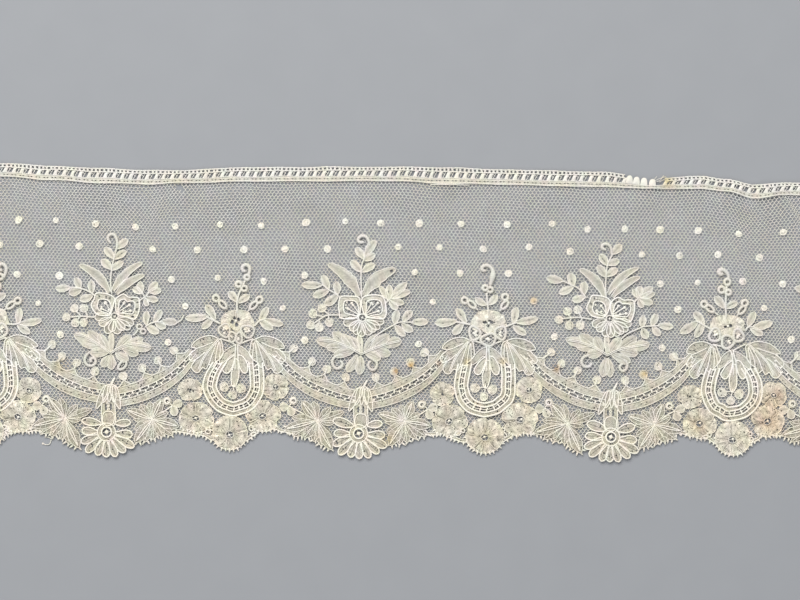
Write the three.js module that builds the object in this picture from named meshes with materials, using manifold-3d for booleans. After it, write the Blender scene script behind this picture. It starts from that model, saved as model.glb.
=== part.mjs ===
// A cut length of applied lace trim lying flat, face up: a scalloped tulle ground, a ladder tape
// along its heading, and separately made lace pieces sewn on the tulle.
//
// The pattern is charted by hand in small squares, as a lace maker's pricking is: u runs along the
// length, v runs down from the heading. One chart square is CHART millimetres.
// Model frame: +X along the length, +Y towards the heading, +Z up, underside on Z = 0.

import * as THREE from 'three';
import { mergeVertices } from 'three/addons/utils/BufferGeometryUtils.js';
import Module from 'manifold-3d';

const wasm = await Module();
wasm.setup();

// ---------------------------------------------------------------- sizes

const CHART = 0.345;            // mm per chart square
const END_LEFT = -72;           // chart u of the left cut end
const END_RIGHT = 916;          // chart u of the right cut end
const MID_U = (END_LEFT + END_RIGHT) / 2;
const MID_V = 313.014;           // chart v of the middle of the depth

const TULLE_THICK = 1.0;        // mm
const TAPE_THICK = 1.3;         // mm
const GAP = 0.3;                // mm between neighbouring pieces
const PIECE_LOW = TULLE_THICK + GAP;
const PIECE_THICK = 1.0;        // mm, sewn-on lace
const RIPPLE_LONG = 6;           // facets along a ripple
const RIPPLE_WIDE = 4;           // and across it
const RIPPLE_SUNK = 0.2;         // mm that a ripple's patch reaches into the flat cloth

// The heading tape: its upper and lower edge along the length, in chart squares.
const HEADING = [
  { u: -80, top: 162, low: 175.5 },
  { u: 0, top: 163, low: 176.5 },
  { u: 50, top: 165.5, low: 180 },
  { u: 100, top: 168, low: 183 },
  { u: 150, top: 170, low: 184.5 },
  { u: 180, top: 170, low: 183 },
  { u: 250, top: 167, low: 181.5 },
  { u: 390, top: 166.5, low: 181 },
  { u: 440, top: 167, low: 183.5 },
  { u: 500, top: 169, low: 184.5 },
  { u: 550, top: 170.5, low: 186 },
  { u: 605, top: 171.5, low: 187 },
  { u: 628, top: 174.5, low: 188 },
  { u: 645, top: 179, low: 188.5 },
  { u: 665, top: 178, low: 189 },
  { u: 700, top: 175.5, low: 188.5 },
  { u: 725, top: 179, low: 191.5 },
  { u: 755, top: 184.5, low: 198.5 },
  { u: 785, top: 182.5, low: 195 },
  { u: 860, top: 184, low: 197 },
  { u: 925, top: 184.5, low: 197.5 },
];

// The scalloped lower edge over one repeat, from rose to rose: share of the repeat, depth below the edge line.
const SCALLOP = [
  { share: 0.0, drop: 18.5 },
  { share: 0.045, drop: 11 },
  { share: 0.1, drop: 2 },
  { share: 0.14, drop: -1 },
  { share: 0.21, drop: 0.5 },
  { share: 0.3, drop: 7 },
  { share: 0.385, drop: 13 },
  { share: 0.43, drop: 20 },
  { share: 0.505, drop: 24.5 },
  { share: 0.57, drop: 19 },
  { share: 0.62, drop: 10 },
  { share: 0.695, drop: 2.5 },
  { share: 0.76, drop: 1 },
  { share: 0.85, drop: 4.5 },
  { share: 0.92, drop: 10 },
  { share: 0.965, drop: 17 },
];
const EDGE_LINE = { v: 429.2, slope: 0.012 };   // the strip sinks slowly to the right

// One row for each repeat: rose medallion (horseshoe centre), pansy sprig, festoon drop and daisy.
const REPEATS = [
  { roseU: -12, roseV: 383, sprigU: 114.5, sprigV: 315.6, dropU: 109.5, dropV: 397.5, daisyU: 107, daisyV: 432 },
  { roseU: 234, roseV: 385, sprigU: 362, sprigV: 317.5, dropU: 361.5, dropV: 400, daisyU: 358.7, daisyV: 433.5 },
  { roseU: 485, roseV: 387, sprigU: 609, sprigV: 318, dropU: 611, dropV: 403, daisyU: 610.5, daisyV: 437 },
  { roseU: 731.5, roseV: 391, sprigU: 855, sprigV: 320.5, dropU: 858, dropV: 406, daisyU: 857, daisyV: 440 },
];
const NEXT_ROSE_U = 978;        // the rose after the right cut end
const STUB = { dropU: -137, dropV: 395 };   // the drop before the left cut end

// Soft low ridges where the cloth doesn't lie quite flat: middle, half length and half width in mm,
// lift in mm, and the ridge's direction in degrees from the length.
const RIPPLES = [
  { u: 772, v: 204, half: 10, wide: 5, lift: 1.5, turn: -62 },
  { u: 735, v: 196, half: 7, wide: 4, lift: 0.9, turn: 75 },
  { u: 650, v: 196, half: 8, wide: 4.5, lift: 1.1, turn: 70 },
  { u: 450, v: 190, half: 11, wide: 4, lift: 0.8, turn: 12 },
  { u: 182, v: 194, half: 7, wide: 4, lift: 0.9, turn: 80 },
  { u: -72, v: 240, half: 20, wide: 9, lift: 1.3, turn: 90 },
  { u: 916, v: 230, half: 13, wide: 8, lift: 1.4, turn: 86 },
  { u: 545, v: 205, half: 12, wide: 5, lift: 0.7, turn: 25 },
  { u: 300, v: 203, half: 14, wide: 5, lift: 0.6, turn: -8 },
];

// Festoon band, one half, measured from the drop: distance sideways, rise of its middle line, half its depth.
const FESTOON = [
  { away: 15, rise: 2, half: 9.5 },
  { away: 31, rise: 6.5, half: 10 },
  { away: 51, rise: 15.5, half: 9.5 },
  { away: 67, rise: 26, half: 8 },
  { away: 78, rise: 37, half: 6.5 },
];

// Hanging calyx and trumpet above the daisy: v from the drop's middle line, half width.
const CALYX = [
  { v: -14, half: 1.6 },
  { v: -6, half: 5.5 },
  { v: 4, half: 8.5 },
  { v: 9, half: 11 },
  { v: 11.5, half: 6 },
  { v: 22, half: 6 },
];
const DAISY = { petals: 12, tip: 24, notch: 18.5 };

// Round blossoms around each horseshoe, from its centre.
const BLOSSOMS = [
  { key: 'a', du: -43.5, dv: 6.5, r: 11.2 },
  { key: 'b', du: -35, dv: 34, r: 15 },
  { key: 'c', du: -1.5, dv: 47.8, r: 16 },
  { key: 'd', du: 32.5, dv: 32, r: 14.2 },
  { key: 'e', du: 42, dv: 4, r: 10.5 },
];
const BLOSSOM_LOBES = 6;

// Palmate leaves at both sides of each daisy, from the drop.
const LEAF = { away: 47.5, below: 21, r: 18.5, lobes: 7, notch: 0.7 };

// Horseshoe of the medallion: middle radius, half the band, height of the legs.
const HORSESHOE = { r: 22, half: 7, legs: 24 };

// Leaf-shaped and stem-shaped parts of the medallion, from the horseshoe's centre: base, tip, half width.
const MEDALLION = [
  { u0: -16, v0: -50, u1: 22, v1: -50, half: 8 },     // rings under the rose
  { u0: -9, v0: -50, u1: -33, v1: -17, half: 8.5 },   // leaf wings
  { u0: 13, v0: -50, u1: 35, v1: -17, half: 8.5 },
  { u0: 2, v0: -48, u1: 0, v1: 9, half: 7 },          // fan inside the horseshoe
  { u0: 3, v0: -74, u1: 3, v1: -121, half: 2.6 },     // top spray
  { u0: -10, v0: -89, u1: 15, v1: -89, half: 4.5 },
  { u0: -8, v0: -72, u1: -24, v1: -90, half: 4 },     // ear loops
  { u0: 13, v0: -72, u1: 25, v1: -92, half: 4 },
  { u0: -10, v0: -60, u1: -45, v1: -60, half: 5 },    // side sprays
  { u0: 14, v0: -62, u1: 46, v1: -66, half: 5 },
  { u0: -16, v0: -61, u1: -29, v1: -78, half: 4.5 },
  { u0: 20, v0: -63, u1: 30, v1: -79, half: 4.5 },
];
const ROSE = { du: 3, dv: -64.5, r: 16.5 };

// Parts of the pansy sprig, from the middle of the pansy: base, tip, half width.
const SPRIG = [
  { u0: 0, v0: 6, u1: 1, v1: -76, half: 2.4 },        // stem
  { u0: 1, v0: -58, u1: 13, v1: -82, half: 4.5 },     // top bud
  { u0: 1, v0: -50, u1: -11, v1: -72, half: 4.5 },    // leaves of the stem
  { u0: 0, v0: -42, u1: 15, v1: -61, half: 5 },
  { u0: 0, v0: -36, u1: -13, v1: -57, half: 4.5 },
  { u0: 0, v0: -20, u1: -33, v1: -52, half: 6 },      // long blades
  { u0: 0, v0: -20, u1: 34, v1: -51, half: 6.5 },
  { u0: -12, v0: -13, u1: -54, v1: -33, half: 7 },    // left sprays
  { u0: -8, v0: -1, u1: -54, v1: 5, half: 6 },
  { u0: 14, v0: -15, u1: 45, v1: -31, half: 6.5 },    // right sprays
  { u0: 4, v0: 24, u1: 61, v1: 5, half: 5.5 },
  { u0: -1, v0: 4, u1: -1, v1: 38, half: 5 },         // stalk
  { u0: 2, v0: 37, u1: -44, v1: 22, half: 10 },       // big leaf pair
  { u0: -6, v0: 37, u1: 41, v1: 23, half: 10 },
  { u0: -1, v0: 30, u1: -7, v1: 53, half: 6.5 },      // bud below
  { u0: -8, v0: 34, u1: -30, v1: 49, half: 5 },       // curls
  { u0: 2, v0: 34, u1: 15, v1: 52, half: 5 },
];
const PANSY = [
  { du: -11.5, dv: -10.5, r: 12.5 },
  { du: 11.5, dv: -11.5, r: 12.5 },
  { du: -1, dv: 5, r: 14 },
];

const COLOURS = {
  tulle: { color: 0xe4ddca, roughness: 0.85 },
  tape: { color: 0xf1ead8, roughness: 0.8 },
  lace: { color: 0xeee7d4, roughness: 0.82 },
  bloom: { color: 0xe8dfca, roughness: 0.85 },
};

// ---------------------------------------------------------------- chart to millimetres

const mmX = (u) => (u - MID_U) * CHART;
const mmY = (v) => (MID_V - v) * CHART;
const at = (u, v) => new THREE.Vector2(mmX(u), mmY(v));

// Straight or eased reading of a table between its rows.
function between(rows, key, column, value, eased = true) {
  let i = 0;
  while (i < rows.length - 2 && value > rows[i + 1][key]) i += 1;
  const a = rows[i], b = rows[i + 1];
  let t = (value - a[key]) / (b[key] - a[key]);
  t = Math.min(1, Math.max(0, t));
  if (eased) t = t * t * (3 - 2 * t);
  return a[column] + (b[column] - a[column]) * t;
}

// Depth of the scalloped edge at u.
function edgeV(u) {
  const roses = [...REPEATS.map((r) => r.roseU), NEXT_ROSE_U];
  let i = 0;
  while (i < roses.length - 2 && u > roses[i + 1]) i += 1;
  let share = (u - roses[i]) / (roses[i + 1] - roses[i]);
  share -= Math.floor(share);
  const rows = [...SCALLOP, { share: 1, drop: SCALLOP[0].drop }];
  return EDGE_LINE.v + EDGE_LINE.slope * u + between(rows, 'share', 'drop', share, false);
}

// ---------------------------------------------------------------- solids

function solidOf(geometry) {
  geometry.deleteAttribute('normal');
  geometry.deleteAttribute('uv');
  const merged = mergeVertices(geometry, 1e-4);
  return new wasm.Manifold(new wasm.Mesh({
    numProp: 3,
    vertProperties: merged.attributes.position.array,
    triVerts: new Uint32Array(merged.index.array),
  }));
}

function geometryOf(solid) {
  const mesh = solid.getMesh();
  const g = new THREE.BufferGeometry();
  g.setAttribute('position', new THREE.BufferAttribute(new Float32Array(mesh.vertProperties), 3));
  g.setIndex(new THREE.BufferAttribute(new Uint32Array(mesh.triVerts), 1));
  g.computeVertexNormals();
  return g;
}

// An upright prism over an outline.
function prism(outline, low, high) {
  const g = new THREE.ExtrudeGeometry(new THREE.Shape(outline), { depth: high - low, bevelEnabled: false, steps: 1 });
  g.translate(0, 0, low);
  return solidOf(g);
}

// The soft hump of one ripple, over the level z.
function hump(row, z) {
  const g = new THREE.BoxGeometry(2 * row.half, 2 * row.wide, RIPPLE_SUNK, RIPPLE_LONG, RIPPLE_WIDE, 1);
  const p = g.attributes.position;
  for (let i = 0; i < p.count; i += 1) {
    const s = Math.cos((p.getX(i) / row.half) * Math.PI / 2) ** 2;
    const t = Math.cos((p.getY(i) / row.wide) * Math.PI / 2) ** 2;
    p.setZ(i, p.getZ(i) > 0 ? z + row.lift * s * t : z - RIPPLE_SUNK);
  }
  g.rotateZ(THREE.MathUtils.degToRad(row.turn));
  g.translate(mmX(row.u), mmY(row.v), 0);
  return solidOf(g);
}

// Cloth over an outline: flat, and lifted off the surface along the ripples.
function cloth(outline, thick) {
  const raised = RIPPLES.reduce((c, row) => c.add(hump(row, thick)), prism(outline, 0, thick));
  const hollowed = RIPPLES.reduce((c, row) => c.subtract(hump(row, 0)), raised);
  return hollowed.intersect(prism(outline, -5, 20));
}

// Outline of a leaf or stem from base to tip.
function leafOutline({ u0, v0, u1, v1, half }, du, dv) {
  const widths = [[0.0, 0.45], [0.6, 1], [1, 0.2]];
  const lu = u1 - u0, lv = v1 - v0, length = Math.hypot(lu, lv);
  const nu = -lv / length, nv = lu / length;
  const side = (s) => widths.map(([t, w]) => at(du + u0 + lu * t + s * nu * half * w, dv + v0 + lv * t + s * nv * half * w));
  return [...side(1), ...side(-1).reverse()];
}

// Outline of a round, lobed or scalloped piece.
function roundOutline(u, v, radius, count, wave = () => 1) {
  return Array.from({ length: count }, (_, i) => {
    const a = (i / count) * Math.PI * 2;
    return at(u + radius * wave(a) * Math.cos(a), v + radius * wave(a) * Math.sin(a));
  });
}

const high = PIECE_LOW + PIECE_THICK;
const piece = (outline) => prism(outline, PIECE_LOW, high);
const joined = (solids) => solids.reduce((a, b) => a.add(b));
const length = prism([at(END_LEFT, 100), at(END_RIGHT, 100), at(END_RIGHT, 520), at(END_LEFT, 520)], -5, 20);

// ---------------------------------------------------------------- pieces

const trim = new THREE.Group();
trim.name = 'tulle_trim';

function add(name, solid, look) {
  const material = new THREE.MeshStandardMaterial({ ...look, metalness: 0 });
  material.name = name;
  const mesh = new THREE.Mesh(geometryOf(solid), material);
  mesh.name = name;
  trim.add(mesh);
}

function steps(from, to, count) {
  return Array.from({ length: count + 1 }, (_, i) => from + ((to - from) * i) / count);
}

// Tulle ground: from just under the tape down to the scalloped edge.
const tapeGap = (GAP + 0.03) / CHART;
const tulleTop = steps(END_LEFT, END_RIGHT, 44).map((u) => at(u, between(HEADING, 'u', 'low', u) + tapeGap));
const tulleLow = steps(END_LEFT, END_RIGHT, 72).map((u) => at(u, edgeV(u)));
add('tulle_ground', cloth([...tulleTop, ...tulleLow.reverse()], TULLE_THICK), COLOURS.tulle);

// Heading tape.
const tapeTop = steps(END_LEFT, END_RIGHT, 44).map((u) => at(u, between(HEADING, 'u', 'top', u)));
const tapeLow = steps(END_LEFT, END_RIGHT, 44).map((u) => at(u, between(HEADING, 'u', 'low', u)));
add('heading_tape', cloth([...tapeTop, ...tapeLow.reverse()], TAPE_THICK), COLOURS.tape);

// Festoon half: dir is +1 to the right of the drop and -1 to its left.
function festoon(u, v, dir) {
  const line = FESTOON.map((row, i) => {
    const a = FESTOON[Math.max(0, i - 1)], b = FESTOON[Math.min(FESTOON.length - 1, i + 1)];
    const du = b.away - a.away, dv = -(b.rise - a.rise), l = Math.hypot(du, dv);
    return { u: row.away, v: -row.rise, nu: -dv / l, nv: du / l, half: row.half };
  });
  const side = (s) => line.map((p) => at(u + dir * (p.u + s * p.nu * p.half), v + p.v + s * p.nv * p.half));
  return piece([...side(1), ...side(-1).reverse()]);
}

function horseshoe(u, v) {
  const { r, half, legs } = HORSESHOE;
  const arc = (radius) => steps(0, Math.PI, 10).map((a) => at(u + radius * Math.cos(a), v + radius * Math.sin(a)));
  const outer = [at(u + r + half, v - legs), ...arc(r + half), at(u - r - half, v - legs)];
  const inner = [at(u - r + half, v - legs), ...arc(r - half).reverse(), at(u + r - half, v - legs)];
  return piece([...outer, ...inner]);
}

REPEATS.forEach((row, i) => {
  const n = i + 1;

  add(`sprig_${n}`, joined([
    ...SPRIG.map((s) => piece(leafOutline(s, row.sprigU, row.sprigV))),
    ...PANSY.map((p) => piece(roundOutline(row.sprigU + p.du, row.sprigV + p.dv, p.r, 8))),
  ]).intersect(length), COLOURS.lace);

  add(`medallion_${n}`, joined([
    horseshoe(row.roseU, row.roseV),
    piece(roundOutline(row.roseU + ROSE.du, row.roseV + ROSE.dv, ROSE.r, 14)),
    ...MEDALLION.map((s) => piece(leafOutline(s, row.roseU, row.roseV))),
  ]), COLOURS.lace);

  add(`festoon_${n}a`, festoon(row.dropU, row.dropV, -1), COLOURS.lace);
  add(`festoon_${n}b`, festoon(row.dropU, row.dropV, 1).intersect(length), COLOURS.lace);

  const calyx = (s) => CALYX.map((c) => at(row.dropU + s * c.half, row.dropV + c.v));
  const petal = (a) => {
    const t = Math.abs(Math.cos(a * DAISY.petals / 2));
    return (DAISY.notch + (DAISY.tip - DAISY.notch) * t) / DAISY.tip;
  };
  add(`drop_${n}`, joined([
    piece([...calyx(1), ...calyx(-1).reverse()]),
    piece(roundOutline(row.daisyU, row.daisyV, DAISY.tip, DAISY.petals * 2, petal)),
  ]), COLOURS.lace);

  [['a', -1], ['b', 1]].forEach(([key, dir]) => {
    const wave = (a) => LEAF.notch + (1 - LEAF.notch) * Math.abs(Math.cos(a * LEAF.lobes / 2));
    add(`leaf_${n}${key}`,
      piece(roundOutline(row.dropU + dir * LEAF.away, row.dropV + LEAF.below, LEAF.r, LEAF.lobes * 3, wave)).intersect(length),
      COLOURS.bloom);
  });

  BLOSSOMS.forEach((b) => {
    const wave = (a) => 0.96 + 0.04 * Math.cos(a * BLOSSOM_LOBES);
    add(`blossom_${n}${b.key}`, piece(roundOutline(row.roseU + b.du, row.roseV + b.dv, b.r, BLOSSOM_LOBES * 2, wave)), COLOURS.bloom);
  });
});

// The stub of the festoon that the left end cuts off.
add('festoon_0b', festoon(STUB.dropU, STUB.dropV, 1).intersect(length), COLOURS.lace);

export default trim;
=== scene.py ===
import math
import bpy
import numpy as np
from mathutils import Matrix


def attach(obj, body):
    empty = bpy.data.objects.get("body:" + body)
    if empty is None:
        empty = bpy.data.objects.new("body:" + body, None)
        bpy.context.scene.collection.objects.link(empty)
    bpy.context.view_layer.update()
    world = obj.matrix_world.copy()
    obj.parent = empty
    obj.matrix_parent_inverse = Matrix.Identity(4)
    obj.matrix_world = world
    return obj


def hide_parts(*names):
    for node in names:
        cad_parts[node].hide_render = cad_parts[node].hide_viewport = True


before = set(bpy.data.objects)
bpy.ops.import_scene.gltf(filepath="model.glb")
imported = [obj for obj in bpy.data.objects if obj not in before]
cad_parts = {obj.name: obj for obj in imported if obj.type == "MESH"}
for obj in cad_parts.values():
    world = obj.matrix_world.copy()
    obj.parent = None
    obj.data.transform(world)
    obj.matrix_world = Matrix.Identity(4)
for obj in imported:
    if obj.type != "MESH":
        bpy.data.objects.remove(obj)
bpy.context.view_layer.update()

# An old applied-lace trim lying flat: a fine tulle with dots, a ladder heading along its top, and
# lace pieces sewn on it. The pattern is charted in small squares, as a lace maker's pricking
# is: u runs along the length, v runs down from the heading. All shapes are worked out in squares and
# turned to metres at the end, in the frame of the solid model.

SQ = 0.000345                     # metres in one square
MID_U, MID_V = 422.0, 313.014     # the chart's middle, which is the model's origin
END_L, END_R = -72.0, 916.0       # the two cut ends
NET_A, NET_H = 3.77, 2.70         # mesh pitch along, and between rows
NET_SIDE = 1.15                   # upright side of a mesh
Z_NET, Z_FILL, Z_CORD = 1.05, 1.75, 2.1   # heights over the floor, in squares

FILL, CORD, NET, BLOOM = 0, 1, 2, 3

# ------------------------------------------------------------------ chart tables

HEADING = [  # u, top, low
    (-80, 162, 175.5), (0, 163, 176.5), (50, 165.5, 180), (100, 168, 183), (150, 170, 184.5),
    (180, 170, 183), (250, 167, 181.5), (390, 166.5, 181), (440, 167, 183.5), (500, 169, 184.5),
    (550, 170.5, 186), (605, 171.5, 187), (628, 174.5, 188), (645, 179, 188.5), (665, 178, 189),
    (700, 175.5, 188.5), (725, 179, 191.5), (755, 184.5, 198.5), (785, 182.5, 195),
    (860, 184, 197), (925, 184.5, 197.5),
]
EDGE = [  # u, v of the scalloped lower edge
    (-85, 441), (-62, 437), (-40, 441), (-26, 446), (-12, 451), (0, 441), (12, 435), (40, 433), (60, 437), (80, 447), (110, 456),
    (137, 445), (160, 435), (175, 433.5), (200, 437), (215, 443), (230, 451), (245, 443), (260, 434),
    (270, 430), (285, 434), (310, 441), (330, 448), (362, 458), (385, 447), (410, 437), (440, 437),
    (465, 444), (483, 453), (500, 444), (520, 435), (545, 438), (570, 444), (585, 450), (612, 461),
    (640, 451), (655, 441), (675, 435), (700, 438), (720, 447), (735, 455), (748, 446), (765, 438),
    (780, 438), (800, 442), (818, 448), (832, 453), (858, 464), (884, 454), (900, 443), (925, 440),
]
REPEATS = [  # rose, sprig, drop, daisy (u, v each), and how far the rose stands right of its horseshoe
    dict(rose=(-12, 383), sprig=(114.5, 315.6), drop=(109.5, 397.5), daisy=(107, 432), lean=1.5),
    dict(rose=(234, 384.5), sprig=(362, 317.5), drop=(361.5, 400), daisy=(358.7, 433.5), lean=3.2),
    dict(rose=(485, 386), sprig=(609, 318), drop=(611, 403), daisy=(610.5, 437), lean=2.2),
    dict(rose=(731.5, 390), sprig=(855, 320.5), drop=(858, 406), daisy=(857, 440), lean=-3.6),
]
NEXT_ROSE = (978, 393)
STUB_DROP = (-137, 395)

BLOSSOMS = [  # per medallion, from the horseshoe's centre: across, down, width, height
    [(-43.5, 6.5, 24, 23), (-35, 34, 33, 31), (-1.5, 48, 34, 33), (31, 33.5, 34, 31), (41, 7, 25, 24)],
    [(-43.5, 6, 24, 23), (-37, 34.5, 34, 32), (-4, 48, 34, 33), (29.5, 31.5, 34, 30), (41.5, 2.5, 26, 25)],
    [(-42.5, 8, 24, 23), (-35, 35.5, 34, 33), (-0.5, 49.5, 36, 34), (34.5, 33.5, 35, 32), (44, 3.7, 26, 25)],
    [(-41.5, 7, 24, 23), (-32, 34.5, 32, 31), (1, 48, 34, 33), (35.5, 31, 32, 31), (41.5, 4.5, 26, 25)],
]

DOTS = [
    (19, 220), (56, 220), (96, 223), (136, 227), (175, 226), (220, 225), (262, 226), (307, 223.5),
    (345, 222), (381, 223), (419, 223.5), (461, 223.5), (507, 224), (552, 224), (587, 229), (625, 229),
    (660, 230.5), (698, 231), (738, 234), (783, 232.5), (822, 233), (866, 235), (903, 236), (-20, 219), (-60, 220),
    (40, 244), (80, 247), (153, 250), (197, 249), (245, 249), (285, 249), (327, 248.5), (397.5, 246.5),
    (439.5, 248), (483, 249), (529.5, 247.5), (570, 251), (641.5, 254.5), (679, 256), (718, 255),
    (759, 256.5), (803, 257), (893, 258), (0, 245), (-41, 245),
    (17, 274), (59, 276), (172, 279), (218, 278), (264, 281), (304.5, 276), (415, 272), (460, 273.5),
    (509, 273.5), (660, 283.5), (698, 283), (742, 282), (783, 284.5), (909, 285), (-34, 274), (-62, 273),
    (38, 302), (185, 307), (283, 307.5), (433, 302.7), (533.5, 300.5), (677, 310), (764.5, 308),
    (805, 311), (-55, 302),
    (60, 334), (305, 340), (418, 344), (554, 337), (662, 348.5), (791, 338.5), (168.5, 342.5), (-66, 334),
]

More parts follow.
